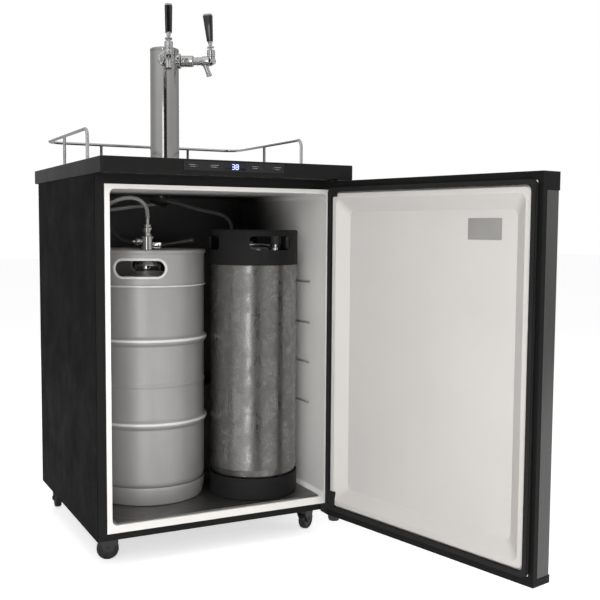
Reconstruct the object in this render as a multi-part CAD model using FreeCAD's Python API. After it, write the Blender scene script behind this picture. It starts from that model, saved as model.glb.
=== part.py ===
import FreeCAD, Part
import math
import os

# A freestanding beer dispenser: an insulated cabinet on casters with a hinged door, two kegs inside and a
# two-faucet draft tower on its counter top. Millimetres. +X is to the user's right, +Y is to the back, +Z is
# up. The origin is on the floor, below the middle of the counter top's front edge. The door is modelled
# standing open.

# ------------------------------------------------------------------ cabinet
CASTER_HEIGHT = 68.2
CABINET_WIDTH = 594.0
CABINET_DEPTH = 565.0
CABINET_HEIGHT = 800.2
COUNTER_SIDE_OVERHANG = 3.0
COUNTER_WIDTH = CABINET_WIDTH + 2 * COUNTER_SIDE_OVERHANG
COUNTER_DEPTH = 663.0
COUNTER_THICK = 34.0
COUNTER_CORNER = 6.0
COUNTER_OVERHANG = 64.0
SHEET = 1.0
BASE_SHEET = 1.5
FRAME_DEPTH = 18.0
SEAT_GAP = 0.3

SIDE_WALL = 33.2
CAVITY_WIDTH = CABINET_WIDTH - 2 * SIDE_WALL
CAVITY_FLOOR = 32.8
CAVITY_CEILING = 30.7
CAVITY_HEIGHT = CABINET_HEIGHT - CAVITY_FLOOR - CAVITY_CEILING
CAVITY_DEPTH = 526.0
CAVITY_CORNER = 12.0
LINER_WALL = 2.0
LIP_SIDE = 11.6
LIP_TOP = 9.9
LIP_BOTTOM = 17.1
LIP_CORNER = 10.0
HUMP_DEPTH = 150.0
HUMP_HEIGHT = 229.0
HUMP_FOAM = 18.0
GROOVE_LEVELS = (219.0, 320.0, 420.0, 522.0)
GROOVE_HEIGHT = 7.0
GROOVE_DEPTH = 8.0
GROOVE_SETBACK = 82.0
GROOVE_LENGTH = 280.0
LINE_HOLE_RADIUS = 26.0

FLOOR_PLATE_SIDE_GAP = 12.3
FLOOR_PLATE_WIDTH = CAVITY_WIDTH - 2 * FLOOR_PLATE_SIDE_GAP
FLOOR_PLATE_DEPTH = 366.0
FLOOR_PLATE_THICK = 1.5
FLOOR_PLATE_RISE = 2.5
FLOOR_PLATE_SETBACK = 6.0

COMPRESSOR_RADIUS = 58.0
COMPRESSOR_HEIGHT = 150.0
COMPRESSOR_X = -140.0
COMPRESSOR_FOOT_RADIUS = 12.0
COMPRESSOR_FOOT_HEIGHT = 14.0
COMPRESSOR_FOOT_SPACING = 120.0
COMPRESSOR_PLATE = 4.0
COMPRESSOR_FOOT_ROUND = 20.0
COMPRESSOR_CROWN = 40.0
COMPRESSOR_CROWN_ROUND = 30.0
LOUVRE_COUNT = 8
LOUVRE_LENGTH = 360.0
LOUVRE_SLOT = 7.0
LOUVRE_HOOD = 5.0
LOUVRE_MARGIN = 28.0

# ------------------------------------------------------------------ control panel
PANEL_WIDTH = 240.0
PANEL_HEIGHT = 21.0
PANEL_BELOW_TOP = 3.4
PANEL_SETBACK = 0.5
PANEL_FASCIA = 4.0
PANEL_DEPTH = 10.0
DISPLAY_WIDTH = 50.0
DISPLAY_HEIGHT = 15.0
DISPLAY_RECESS = 0.6
BUTTON_X = (-89.5, -60.0, 61.0, 91.0)
BUTTON_RADIUS = 3.7
BUTTON_BORE_GAP = 0.3
BUTTON_PROUD = 0.8
BUTTON_FLANGE = 1.5
BUTTON_FLANGE_STEP = 0.8
BUTTON_TRAVEL = 1.0

# ------------------------------------------------------------------ guard rail and drip tray
RAIL_RADIUS = 4.0
RAIL_HEIGHT = 76.0
RAIL_SIDE_GAP = 28.0
RAIL_HALF_WIDTH = COUNTER_WIDTH / 2 - RAIL_SIDE_GAP
RAIL_FRONT = 213.0
RAIL_REAR = 636.0
RAIL_FRONT_BEND = 20.0
RAIL_CORNER_BEND = 40.0
RAIL_MID_POST = 434.0
RAIL_REAR_POST = 125.0
RAIL_FOOT_RADIUS = 10.0
RAIL_FOOT_THICK = 3.0
TRAY_WIDTH = 305.0
TRAY_DEPTH = 165.0
TRAY_HEIGHT = 12.0
TRAY_WALL = 1.2
TRAY_FRONT = 232.0
TRAY_CORNER = 12.0
TRAY_LEDGE = 5.0
GRILLE_THICK = 1.5
GRILLE_SLOTS = 18
GRILLE_ROWS = 2
GRILLE_BAR = 6.0
GRILLE_MARGIN = 12.0

# ------------------------------------------------------------------ draft tower
TOWER_Y = 471.0
TOWER_RADIUS = 38.1
TOWER_WALL = 1.5
TOWER_HEIGHT = 309.6
TOWER_CAP_THICK = 8.6
TOWER_CAP_SPIGOT = 8.0
TOWER_CAP_ROUND = 3.0
TOWER_FLANGE_RADIUS = 63.5
TOWER_FLANGE_THICK = 10.0
TOWER_FLANGE_ROUND = 4.0
FAUCET_BEARINGS = {"left": -14.0, "right": 59.8}
FAUCET_HEIGHT = 286.1
SHANK_RADIUS = 11.0
SHANK_BORE = 4.0
SHANK_START = 20.0
SHANK_END = 56.0
SHANK_NUT_RADIUS = 14.0
SHANK_NUT_START = 27.0
SHANK_NUT_THICK = 6.0
SADDLE_RADIUS = 20.0
SADDLE_END = 44.0
COUPLING_RADIUS = 15.0
COUPLING_START = 45.0
COUPLING_END = 77.4
COUPLING_LIP = 3.0
NECK_RADIUS = 10.3
BODY_START = 58.0
BODY_SHOULDER = 95.0
BODY_RADIUS = 13.2
BODY_END = 136.0
BODY_SWELL = 6.0
BODY_SWELL_ROUND = 4.0
NOSE_LENGTH = 14.0
NOSE_ROUND = 8.0
LEVER_AXIS = 122.7
SPOUT_START = 104.2
SPOUT_TIP = 118.8
SPOUT_DROP = 38.0
SPOUT_RADIUS = 6.5
SPOUT_LIP_RADIUS = 7.8
SPOUT_LIP_LENGTH = 9.0
SPOUT_BORE = 5.0
SPOUT_BORE_DEPTH = 26.0
BONNET_RADIUS = 11.0
BONNET_FOOT = 11.5
BONNET_HEIGHT = 18.0
BONNET_ROUND = 2.0
PIVOT_HEIGHT = 22.5
BALL_RADIUS = 8.1
BALL_GAP = 0.3
LEVER_TILT = -5.0
LEVER_STEM_RADIUS = 3.5
LEVER_COLLAR_RADIUS = 9.5
LEVER_COLLAR_START = 11.0
LEVER_COLLAR_THICK = 5.0
FERRULE_END = 28.0
FERRULE_BASE_RADIUS = 4.6
FERRULE_TOP_RADIUS = 6.6
STUD_RADIUS = 4.0
STUD_LENGTH = 12.0
STUD_GAP = 0.05
GRIP_LENGTH = 65.5
GRIP_BASE = (17.0, 15.4)
GRIP_TOP = (20.0, 25.6)
GRIP_CORNER = 4.5
GRIP_CAP_THICK = 5.0

# ------------------------------------------------------------------ door
PIN_INSET = 10.4
PIN_X = CABINET_WIDTH / 2 - PIN_INSET
PIN_Y = 7.6
PIN_RADIUS = 4.0
PIN_GAP = 0.06
PIN_REACH = 14.0
DOOR_OPEN_ANGLE = 102.6
DOOR_EDGE = 10.3
DOOR_THICK = 55.7
DOOR_BOTTOM_GAP = 7.5
DOOR_TOP_GAP = 3.9
DOOR_CAP_TOP = 35.0
DOOR_CAP_BOTTOM = 14.0
DOOR_CORNER = 6.0
SKIN_THICK = 0.8
SKIN_INSET = 1.5
STRIP_THICK = 12.0
GASKET_THICK = 10.0
GASKET_WIDTH = 9.5
GASKET_WAIST = 2.0
GASKET_LIP = 3.0
GASKET_CORNER = 12.0
DOOR_LINER_LEFT = 20.5
DOOR_LINER_RIGHT = 15.3
DOOR_LINER_TOP = 25.0
DOOR_LINER_BOTTOM = 27.3
DOOR_FLANGE = 8.0
RIM_RISE = 5.0
RIM_DRAFT = 4.0
RIM_WIDTH = 11.0
DISH_SLOPE = 30.0
DISH_DEPTH = 18.0
DISH_CORNER = 14.0
POCKET_WIDTH = 136.0
POCKET_HEIGHT = 21.0
POCKET_DEPTH = 20.0
POCKET_CORNER = 8.0
HINGE_PLATE_TOP = 2.4
HINGE_PLATE_BOTTOM = 3.0
HINGE_PLATE_WIDTH = 40.0
HINGE_NOSE = 11.0
BRACKET_DROP = 0.3
BRACKET_LEG = 2.5
WASHER_RADIUS = 9.0
FOOT_RADIUS = 14.5
FOOT_THICK = 12.0
FOOT_NUT_RADIUS = 8.0
FOOT_NUT_THICK = 8.0
FOOT_Y = 46.0

# ------------------------------------------------------------------ casters
WHEEL_RADIUS = 25.0
WHEEL_WIDTH = 18.0
WHEEL_HUB_RADIUS = 9.0
WHEEL_DISH = 2.0
WHEEL_CHAMFER = 3.0
AXLE_RADIUS = 3.0
AXLE_GAP = 0.06
AXLE_HEAD_RADIUS = 5.0
AXLE_HEAD_THICK = 2.0
CASTER_TRAIL = 14.0
CASTER_PLATE = 56.0
CASTER_PLATE_THICK = 3.0
CASTER_RACE_RADIUS = 15.0
CASTER_RACE_THICK = 3.0
KINGPIN_RADIUS = 5.0
KINGPIN_HEAD_RADIUS = 8.0
KINGPIN_HEAD_THICK = 2.5
KINGPIN_GAP = 0.06
FORK_SHEET = 2.5
FORK_SIDE_GAP = 0.8
CASTER_INSET = 31.0
CASTER_X = CABINET_WIDTH / 2 - CASTER_INSET
CASTER_FRONT_Y = 150.0
CASTER_REAR_Y = 585.0
CASTER_HEADINGS = {"fl": -15.0, "fr": -144.6, "rl": 82.0, "rr": 97.0}
BRAKE_PIN_OUT = 34.0
BRAKE_PIN_UP = 46.0
BRAKE_PIN_RADIUS = 2.0
BRAKE_HUB_RADIUS = 3.6
BRAKE_TAB = 12.0
BRAKE_TAB_THICK = 2.0
BRAKE_SIDE_GAP = 0.4

# ------------------------------------------------------------------ tall keg (steel)
KEG_X = -110.3
KEG_Y = 280.4
KEG_RADIUS = 135.0
KEG_HOOP_RADIUS = 141.3
KEG_HOOP_HALF = 9.5
KEG_HOOP_HEIGHTS = (191.5, 386.5)
KEG_RING_HEIGHT = 283.0
KEG_RING_RADIUS = 137.0
KEG_RING_HALF = 4.0
KEG_WALL = 2.5
KEG_FOOT = 14.0
KEG_WELD_HEIGHT = 514.5
KEG_HEIGHT = 598.5
KEG_NECK_RADIUS = 33.0
KEG_NECK_HEIGHT = 545.0
KEG_DOME_HEIGHT = 532.0
KEG_SHOULDER_REACH = 35.0
KEG_SHOULDER_ROUND = 12.0
KEG_BORE_REACH = 37.5
CHIME_WALL = 3.0
CHIME_RADIUS = 136.5
CHIME_BEAD = 5.0
CHIME_WELD = 2.3
CHIME_BOTTOM_HEIGHT = 44.0
CHIME_FOOT_RADIUS = 129.5
CHIME_FOOT_WALL = 5.3
CHIME_FOOT_RISE = 30.0
CHIME_FOOT_ROUND = 20.0
HANDLE_HOLE_WIDTH = 119.0
HANDLE_HOLE_HEIGHT = 42.0
HANDLE_HOLE_MIDDLE = 555.5
HANDLE_HOLE_BEARING = -26.0

COUPLER_BASE_RADIUS = 31.0
COUPLER_BASE_HEIGHT = 24.0
COUPLER_BODY_RADIUS = 17.0
COUPLER_BODY_HEIGHT = 84.0
COUPLER_NECK_RADIUS = 10.0
COUPLER_NECK_HEIGHT = 112.0
COUPLER_BARB_RADIUS = 5.5
COUPLER_BARB_HEIGHT = 131.0
COUPLER_PORT_HEIGHT = 70.0
COUPLER_PORT_RADIUS = 8.0
COUPLER_PORT_REACH = 38.0
COUPLER_HANDLE_BEARING = 60.0
COUPLER_HANDLE_HEIGHT = 62.0
COUPLER_EAR_GAP = 13.0
COUPLER_EAR_THICK = 4.0
COUPLER_EAR_REACH = 30.0
COUPLER_PIN_RADIUS = 2.5
COUPLER_PIN_GAP = 0.06
COUPLER_HANDLE_RADIUS = 5.0
COUPLER_HANDLE_LENGTH = 78.0
COUPLER_HANDLE_RISE = 12.0

# ------------------------------------------------------------------ short keg (soda keg with rubber boots)
CORNY_X = 129.5
CORNY_Y = 189.0
CORNY_RADIUS = 105.5
CORNY_BOOT_RADIUS = 108.3
CORNY_HEIGHT = 646.0
CORNY_TOP_BOOT = 69.5
CORNY_BOTTOM_BOOT = 53.0
CORNY_DOME = 19.5
CORNY_FOOT = 10.0
CORNY_FOOT_ROUND = 30.0
CORNY_FOOT_RISE = 34.0
CORNY_BORE_RISE = 44.0
CORNY_SHOULDER_ROUND = 18.0
CORNY_DOME_ROUND = 12.0
BOOT_FOOT_BORE = 62.0
BOOT_GAP = 0.3
BOOT_HEEL = 32.0
BOOT_RIM = 12.0
BOOT_WALL = 5.5
WINDOW_HEIGHT = 33.0
WINDOW_BELOW_TOP = 15.0
WINDOW_FRONT = 105.0
WINDOW_SIDE = 62.0
WINDOW_CORNER = 9.0
POST_SPACING = 116.0
POST_RADIUS = 11.0
POST_HEIGHT = 16.0
DISCONNECT_RADIUS = 12.5
DISCONNECT_HEIGHT = 26.0
LID_RADIUS = 38.0
LID_THICK = 8.0
LID_BAIL = 7.0

# ------------------------------------------------------------------ hoses
BEER_HOSE_RADIUS = 5.0
GAS_HOSE_RADIUS = 4.0
TOWER_HOSE_RADIUS = 5.0
BEND_SHARE = 0.45
BEER_ROUTE = (
    (-110.3, 280.4, 781.0),
    (-110.3, 280.4, 796.0),
    (-115.6, 281.9, 809.4),
    (-125.5, 284.6, 819.6),
    (-138.4, 288.2, 825.2),
    (-156.0, 293.5, 826.4),
    (-175.5, 300.5, 821.5),
    (-192.0, 312.0, 813.0),
    (-201.5, 331.0, 804.5),
    (-200.0, 354.0, 799.0),
    (-186.5, 376.0, 797.5),
    (-164.0, 394.5, 799.0),
    (-136.0, 410.5, 802.5),
    (-106.0, 426.0, 807.0),
    (-77.0, 441.5, 809.5),
    (-49.5, 452.4, 813.6),
    (-35.5, 458.6, 814.4),
    (-22.9, 464.3, 819.5),
    (-13.2, 468.6, 830.1),
    (-8.0, 471.0, 844.0),
    (-8.0, 471.0, 858.0),
)
GAS_ROUTE = (
    (-148.3, 280.4, 720.0),
    (-160.0, 280.4, 720.0),
    (-173.0, 282.0, 723.5),
    (-184.0, 285.5, 732.0),
    (-191.5, 291.5, 744.0),
    (-197.5, 301.0, 757.5),
    (-205.0, 316.0, 771.5),
    (-214.0, 338.0, 784.0),
    (-221.5, 368.0, 792.0),
    (-225.5, 406.0, 795.0),
    (-224.5, 446.0, 793.5),
    (-218.5, 484.0, 789.5),
    (-209.5, 516.0, 784.5),
    (-205.0, 541.0, 782.0),
    (-205.0, 578.0, 782.0),
)
TOWER_ROUTE = (
    (88.5, 230.0, 743.0),
    (88.5, 230.0, 757.0),
    (83.3, 231.1, 770.9),
    (73.5, 233.3, 781.5),
    (60.0, 236.0, 788.0),
    (40.0, 239.5, 792.5),
    (15.0, 243.0, 797.0),
    (-12.0, 248.0, 804.0),
    (-38.0, 254.5, 812.5),
    (-63.5, 265.0, 819.5),
    (-81.0, 283.5, 823.5),
    (-87.5, 309.0, 824.0),
    (-82.0, 337.0, 822.5),
    (-67.0, 363.5, 820.0),
    (-48.0, 389.5, 816.0),
    (-31.5, 413.5, 814.5),
    (-16.6, 435.8, 813.2),
    (-8.1, 448.1, 814.2),
    (-0.3, 459.5, 819.5),
    (5.7, 468.3, 830.1),
    (9.0, 473.0, 844.0),
    (9.0, 473.0, 858.0),
)
GAS_PORT_X = -205.0
GAS_PORT_Z = 782.0
GAS_PORT_RADIUS = 9.0
GAS_PORT_REACH = 12.0

# ------------------------------------------------------------------ places worked out from the dimensions
V = FreeCAD.Vector
ORIGIN = V(0, 0, 0)
UP = V(0, 0, 1)
BODY_Z0 = CASTER_HEIGHT
BODY_Z1 = BODY_Z0 + CABINET_HEIGHT
TOP_Z = BODY_Z1 + COUNTER_THICK
FACE_Y = COUNTER_OVERHANG
BACK_Y = FACE_Y + CABINET_DEPTH
SIDE_X = CABINET_WIDTH / 2
INNER_X = SIDE_X - SHEET
INNER_BACK = BACK_Y - SHEET
CAVITY_X = CAVITY_WIDTH / 2
CAVITY_Z0 = BODY_Z0 + CAVITY_FLOOR
CAVITY_Z1 = CAVITY_Z0 + CAVITY_HEIGHT
CAVITY_BACK = FACE_Y + CAVITY_DEPTH
HUMP_Y = CAVITY_BACK - HUMP_DEPTH
HUMP_Z = CAVITY_Z0 + HUMP_HEIGHT
LIP_X = CAVITY_X + LIP_SIDE
LIP_Z0 = CAVITY_Z0 - LIP_BOTTOM
LIP_Z1 = CAVITY_Z1 + LIP_TOP
ROOM_Y = HUMP_Y + LINER_WALL + HUMP_FOAM
ROOM_Z = HUMP_Z - LINER_WALL - HUMP_FOAM
PAN_Z = BODY_Z0 + BASE_SHEET
KEG_Z = CAVITY_Z0 + FLOOR_PLATE_RISE + FLOOR_PLATE_THICK
BARREL_Z = TOP_Z + FAUCET_HEIGHT
PIVOT_Z = BARREL_Z + PIVOT_HEIGHT
DOOR_X0 = -SIDE_X + 0.1
DOOR_X1 = PIN_X + DOOR_EDGE
DOOR_Y0 = PIN_Y - DOOR_EDGE
DOOR_Y1 = DOOR_Y0 + DOOR_THICK
BRACKET_Z0 = BODY_Z0 - BRACKET_DROP - HINGE_PLATE_BOTTOM
BRACKET_Z1 = BRACKET_Z0 + HINGE_PLATE_BOTTOM
DOOR_Z0 = BRACKET_Z1 + DOOR_BOTTOM_GAP
DOOR_Z1 = BODY_Z1 - DOOR_TOP_GAP
SKIN_Z0 = DOOR_Z0 + DOOR_CAP_BOTTOM
SKIN_Z1 = DOOR_Z1 - DOOR_CAP_TOP
STRIP_Y = DOOR_Y1 - STRIP_THICK
LINER_X0 = DOOR_X0 + DOOR_LINER_LEFT
LINER_X1 = DOOR_X1 - DOOR_LINER_RIGHT
LINER_Z0 = DOOR_Z0 + DOOR_LINER_BOTTOM
LINER_Z1 = DOOR_Z1 - DOOR_LINER_TOP
RACE_Z = CASTER_HEIGHT - CASTER_PLATE_THICK - CASTER_RACE_THICK
FORK_TOP = RACE_Z - SEAT_GAP
FORK_UNDER = FORK_TOP - FORK_SHEET
FORK_IN = WHEEL_WIDTH / 2 + FORK_SIDE_GAP
FORK_OUT = FORK_IN + FORK_SHEET
CORNY_Z = KEG_Z
CORNY_SHOULDER = CORNY_HEIGHT - CORNY_TOP_BOOT
CASTER_PLACES = {
    "fl": (-CASTER_X, CASTER_FRONT_Y),
    "fr": (CASTER_X, CASTER_FRONT_Y),
    "rl": (-CASTER_X, CASTER_REAR_Y),
    "rr": (CASTER_X, CASTER_REAR_Y),
}


# ------------------------------------------------------------------ shape helpers
def box(x0, x1, y0, y1, z0, z1):
    """Block between two values on each axis."""
    return Part.makeBox(x1 - x0, y1 - y0, z1 - z0, V(x0, y0, z0))


def rod(radius, start, end):
    """Round bar between two points."""
    axis = end - start
    return Part.makeCylinder(radius, axis.Length, start, axis)


def outline(corners, plane="xz"):
    """Closed wire through (a, b, radius) corners; a corner with a radius becomes a tangent arc."""
    place = {
        "xz": lambda a, b: V(a, 0, b),
        "xy": lambda a, b: V(a, b, 0),
        "yz": lambda a, b: V(0, a, b),
    }[plane]
    points = [place(a, b) for a, b, _ in corners]
    ends = []
    arcs = []
    for i, (_, _, radius) in enumerate(corners):
        here = points[i]
        back = (points[i - 1] - here).normalize()
        ahead = (points[(i + 1) % len(points)] - here).normalize()
        if radius <= 0:
            ends.append((here, here))
            arcs.append(None)
            continue
        half = back.getAngle(ahead) / 2
        reach = radius / math.tan(half)
        start = here + back * reach
        stop = here + ahead * reach
        centre = here + (back + ahead).normalize() * (radius / math.sin(half))
        middle = centre + (here - centre).normalize() * radius
        ends.append((start, stop))
        arcs.append(Part.Arc(start, middle, stop).toShape())
    edges = []
    for i, arc in enumerate(arcs):
        if arc is not None:
            edges.append(arc)
        leave = ends[i][1]
        arrive = ends[(i + 1) % len(ends)][0]
        if leave.distanceToPoint(arrive) > 1e-6:
            edges.append(Part.LineSegment(leave, arrive).toShape())
    return Part.Wire(edges)


def prism(corners, plane, start, end):
    """Outline in a coordinate plane, extruded along the third axis from start to end."""
    axis = {"xz": V(0, 1, 0), "xy": V(0, 0, 1), "yz": V(1, 0, 0)}[plane]
    face = Part.Face(outline(corners, plane))
    face.translate(axis * start)
    return face.extrude(axis * (end - start))


def rounded(x0, x1, z0, z1, radius):
    """Corners of a rectangle with equal corner radii."""
    return [(x0, z0, radius), (x1, z0, radius), (x1, z1, radius), (x0, z1, radius)]


def frustum(low, high, y0, y1):
    """Loft between two rectangles (x0, x1, z0, z1, radius) that lie at y0 and y1."""
    wires = []
    for rect, y in ((low, y0), (high, y1)):
        wire = outline(rounded(*rect))
        wire.translate(V(0, y, 0))
        wires.append(wire)
    return Part.makeLoft(wires, True, True)


def grown(rect, amount, radius):
    """Rectangle with every side moved out by amount."""
    x0, x1, z0, z1 = rect
    return (x0 - amount, x1 + amount, z0 - amount, z1 + amount, radius)


def lathe(profile, x=0.0, y=0.0, z=0.0):
    """Profile of (radius, height, corner radius) turned about the vertical line through (x, y)."""
    solid = Part.Face(outline(profile)).revolve(ORIGIN, UP, 360)
    solid.translate(V(x, y, z))
    return solid


def ring(outer, inner, z0, z1, x=0.0, y=0.0):
    """Plain upright tube."""
    profile = [(inner, z0, 0), (outer, z0, 0), (outer, z1, 0), (inner, z1, 0)]
    return lathe(profile, x, y)


def fused(first, *others):
    """One solid from several that overlap or meet."""
    return first.multiFuse(list(others)).removeSplitter()


def turned(shape, angle, x=0.0, y=0.0):
    """Copy turned about the vertical line through (x, y)."""
    copy = shape.copy()
    copy.rotate(V(x, y, 0), UP, angle)
    return copy


def bent_path(points, radii):
    """Open wire of straight runs through points, with a tangent arc of the given radius at each inner one."""
    edges = []
    leave = points[0]
    for i in range(1, len(points) - 1):
        here = points[i]
        back = (points[i - 1] - here).normalize()
        ahead = (points[i + 1] - here).normalize()
        half = back.getAngle(ahead) / 2
        reach = radii[i - 1] / math.tan(half)
        start = here + back * reach
        stop = here + ahead * reach
        centre = here + (back + ahead).normalize() * (radii[i - 1] / math.sin(half))
        middle = centre + (here - centre).normalize() * radii[i - 1]
        edges.append(Part.LineSegment(leave, start).toShape())
        edges.append(Part.Arc(start, middle, stop).toShape())
        leave = stop
    edges.append(Part.LineSegment(leave, points[-1]).toShape())
    return Part.Wire(edges)


def swept(path, radius):
    """Round bar swept along a wire."""
    first = path.OrderedEdges[0]
    start = first.valueAt(first.FirstParameter)
    along = first.tangentAt(first.FirstParameter)
    section = Part.Wire(Part.makeCircle(radius, start, along))
    return path.makePipeShell([section], True, True)


def hose(route, radius, name):
    """Hose along a list of points, with each bend as large as its two runs allow."""
    points = [V(*p) for p in route]
    radii = []
    for i in range(1, len(points) - 1):
        before = points[i] - points[i - 1]
        after = points[i + 1] - points[i]
        turn = before.getAngle(after)
        shorter = min(before.Length, after.Length)
        radii.append(BEND_SHARE * shorter / math.tan(turn / 2))
    path = bent_path(points, radii)
    solid = swept(path, radius)
    share = solid.Volume / (math.pi * radius**2 * path.Length)
    tightest = min(radii) / (2 * radius)
    length = path.Length
    print(f"{name}: length {length:.1f}, tightest bend {tightest:.1f} diameters, volume share {share:.4f}")
    return solid


# ------------------------------------------------------------------ cabinet
def side_panel(side):
    """Painted steel side, -1 left or +1 right."""
    x0, x1 = sorted((side * INNER_X, side * SIDE_X))
    return box(x0, x1, FACE_Y, BACK_Y, BODY_Z0, BODY_Z1)


def back_panel():
    """Steel back above the compressor room."""
    return box(-INNER_X, INNER_X, INNER_BACK, BACK_Y, ROOM_Z, BODY_Z1)


def base_pan():
    """Steel pan that carries the compressor and the casters."""
    return box(-INNER_X, INNER_X, FACE_Y + BRACKET_LEG + SEAT_GAP, INNER_BACK, BODY_Z0, PAN_Z)


def front_frame():
    """Four rails that close the edge of the cabinet round the liner."""
    y1 = FACE_Y + FRAME_DEPTH
    left = box(-INNER_X, -LIP_X, FACE_Y, y1, LIP_Z0, LIP_Z1)
    right = box(LIP_X, INNER_X, FACE_Y, y1, LIP_Z0, LIP_Z1)
    top = box(-INNER_X, INNER_X, FACE_Y, y1, LIP_Z1, BODY_Z1)
    bottom = box(-INNER_X, INNER_X, FACE_Y, y1, PAN_Z, LIP_Z0)
    recess = box(bracket_x0(), INNER_X, FACE_Y, FACE_Y + BRACKET_LEG + SEAT_GAP, PAN_Z, LIP_Z0)
    return Part.makeCompound([left, right, top, bottom.cut(recess)])


def shelf_grooves(offset):
    """Grooves in both side walls that carry the edges of shelves, grown by an offset."""
    y0 = FACE_Y + GROOVE_SETBACK - offset
    y1 = FACE_Y + GROOVE_SETBACK + GROOVE_LENGTH + offset
    half = GROOVE_HEIGHT / 2 + offset
    x = CAVITY_X + GROOVE_DEPTH + offset
    bars = []
    for level in GROOVE_LEVELS:
        z = CAVITY_Z0 + level
        outline = rounded(y0, y1, z - half, z + half, half * 0.8)
        bars.append(prism(outline, "yz", -x, -CAVITY_X))
        bars.append(prism(outline, "yz", CAVITY_X, x))
    return bars


def cavity_form(offset):
    """Space inside the liner with its compressor hump, grown by an offset."""
    y0 = FACE_Y
    y1 = CAVITY_BACK + offset
    z0 = CAVITY_Z0 - offset
    z1 = CAVITY_Z1 + offset
    step_y = HUMP_Y + offset
    step_z = HUMP_Z - offset
    side = [(y0, z0, 0), (step_y, z0, 0), (step_y, step_z, 0), (y1, step_z, 0), (y1, z1, 0), (y0, z1, 0)]
    x = CAVITY_X + offset
    form = prism(side, "yz", -x, x)
    corner = rounded(-x, x, z0, z1, CAVITY_CORNER + offset)
    return fused(form.common(prism(corner, "xz", y0, y1)), *shelf_grooves(offset))


def liner_hole(radius):
    """Upright hole for the beer lines, from the cavity's ceiling to the tower."""
    return rod(radius, V(0, TOWER_Y, CAVITY_Z1 - LINER_WALL), V(0, TOWER_Y, TOP_Z + 1))


def liner():
    """White moulded liner with its lip, shelf grooves and compressor hump."""
    y1 = FACE_Y + LINER_WALL
    lip = prism(rounded(-LIP_X, LIP_X, LIP_Z0, LIP_Z1, 0), "xz", FACE_Y, y1)
    shell = fused(lip, cavity_form(LINER_WALL)).cut(cavity_form(0))
    return shell.cut(liner_hole(LINE_HOLE_RADIUS)).cut(gas_hole(SEAT_GAP))


def gas_hole(gap):
    """Round way through the back of the cabinet for the gas fitting."""
    start = V(GAS_PORT_X, CAVITY_BACK - GAS_PORT_REACH, GAS_PORT_Z)
    return rod(GAS_PORT_RADIUS + gap, start, V(GAS_PORT_X, BACK_Y + GAS_PORT_REACH, GAS_PORT_Z))


def foam_insulation():
    """Foam between the liner and the steel shell."""
    x = INNER_X - SEAT_GAP
    y1 = INNER_BACK - SEAT_GAP
    y0 = FACE_Y + FRAME_DEPTH + SEAT_GAP
    block = box(-x, x, y0, y1, PAN_Z + SEAT_GAP, BODY_Z1 - SEAT_GAP)
    room = box(-x - 1, x + 1, ROOM_Y, y1 + 1, 0, ROOM_Z)
    block = block.cut(room).cut(cavity_form(LINER_WALL + SEAT_GAP))
    return block.cut(liner_hole(LINE_HOLE_RADIUS)).cut(gas_hole(SEAT_GAP))


def floor_plate():
    """Steel plate that spreads the weight of the kegs, folded down at its edges."""
    x = FLOOR_PLATE_WIDTH / 2
    y0 = FACE_Y + FLOOR_PLATE_SETBACK
    y1 = y0 + FLOOR_PLATE_DEPTH
    z1 = KEG_Z
    deck = box(-x, x, y0, y1, z1 - FLOOR_PLATE_THICK, z1)
    folds = [box(-x, x, y, y + FLOOR_PLATE_THICK, CAVITY_Z0, z1) for y in (y0, y1 - FLOOR_PLATE_THICK)]
    ribs = [box(x0, x0 + 12, y0, y1, CAVITY_Z0, z1) for x0 in (-x / 2, 0, x / 2 - 12)]
    return fused(deck, *folds, *ribs)


def compressor():
    """Sealed compressor pot on its foot plate and four rubber feet."""
    y = (ROOM_Y + INNER_BACK) / 2
    foot_z = PAN_Z + COMPRESSOR_FOOT_HEIGHT
    plate_z = foot_z + COMPRESSOR_PLATE
    r = COMPRESSOR_RADIUS
    top = plate_z + COMPRESSOR_HEIGHT
    foot = COMPRESSOR_FOOT_ROUND
    pot = lathe([(0, plate_z, 0), (r * 0.8, plate_z, 0), (r, plate_z + foot, foot / 2),
                 (r, top - COMPRESSOR_CROWN, COMPRESSOR_CROWN_ROUND), (r * 0.45, top, foot), (0, top, 0)],
                COMPRESSOR_X, y)
    x = COMPRESSOR_X
    reach = COMPRESSOR_FOOT_SPACING / 2 + COMPRESSOR_FOOT_RADIUS
    square = rounded(x - reach, x + reach, y - reach, y + reach, COMPRESSOR_FOOT_RADIUS)
    plate = prism(square, "xy", foot_z, plate_z)
    feet = []
    for dx in (-0.5, 0.5):
        for dy in (-0.5, 0.5):
            place = V(x + dx * COMPRESSOR_FOOT_SPACING, y + dy * COMPRESSOR_FOOT_SPACING, PAN_Z)
            feet.append(Part.makeCylinder(COMPRESSOR_FOOT_RADIUS, COMPRESSOR_FOOT_HEIGHT, place))
    return fused(pot, plate, *feet)


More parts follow.
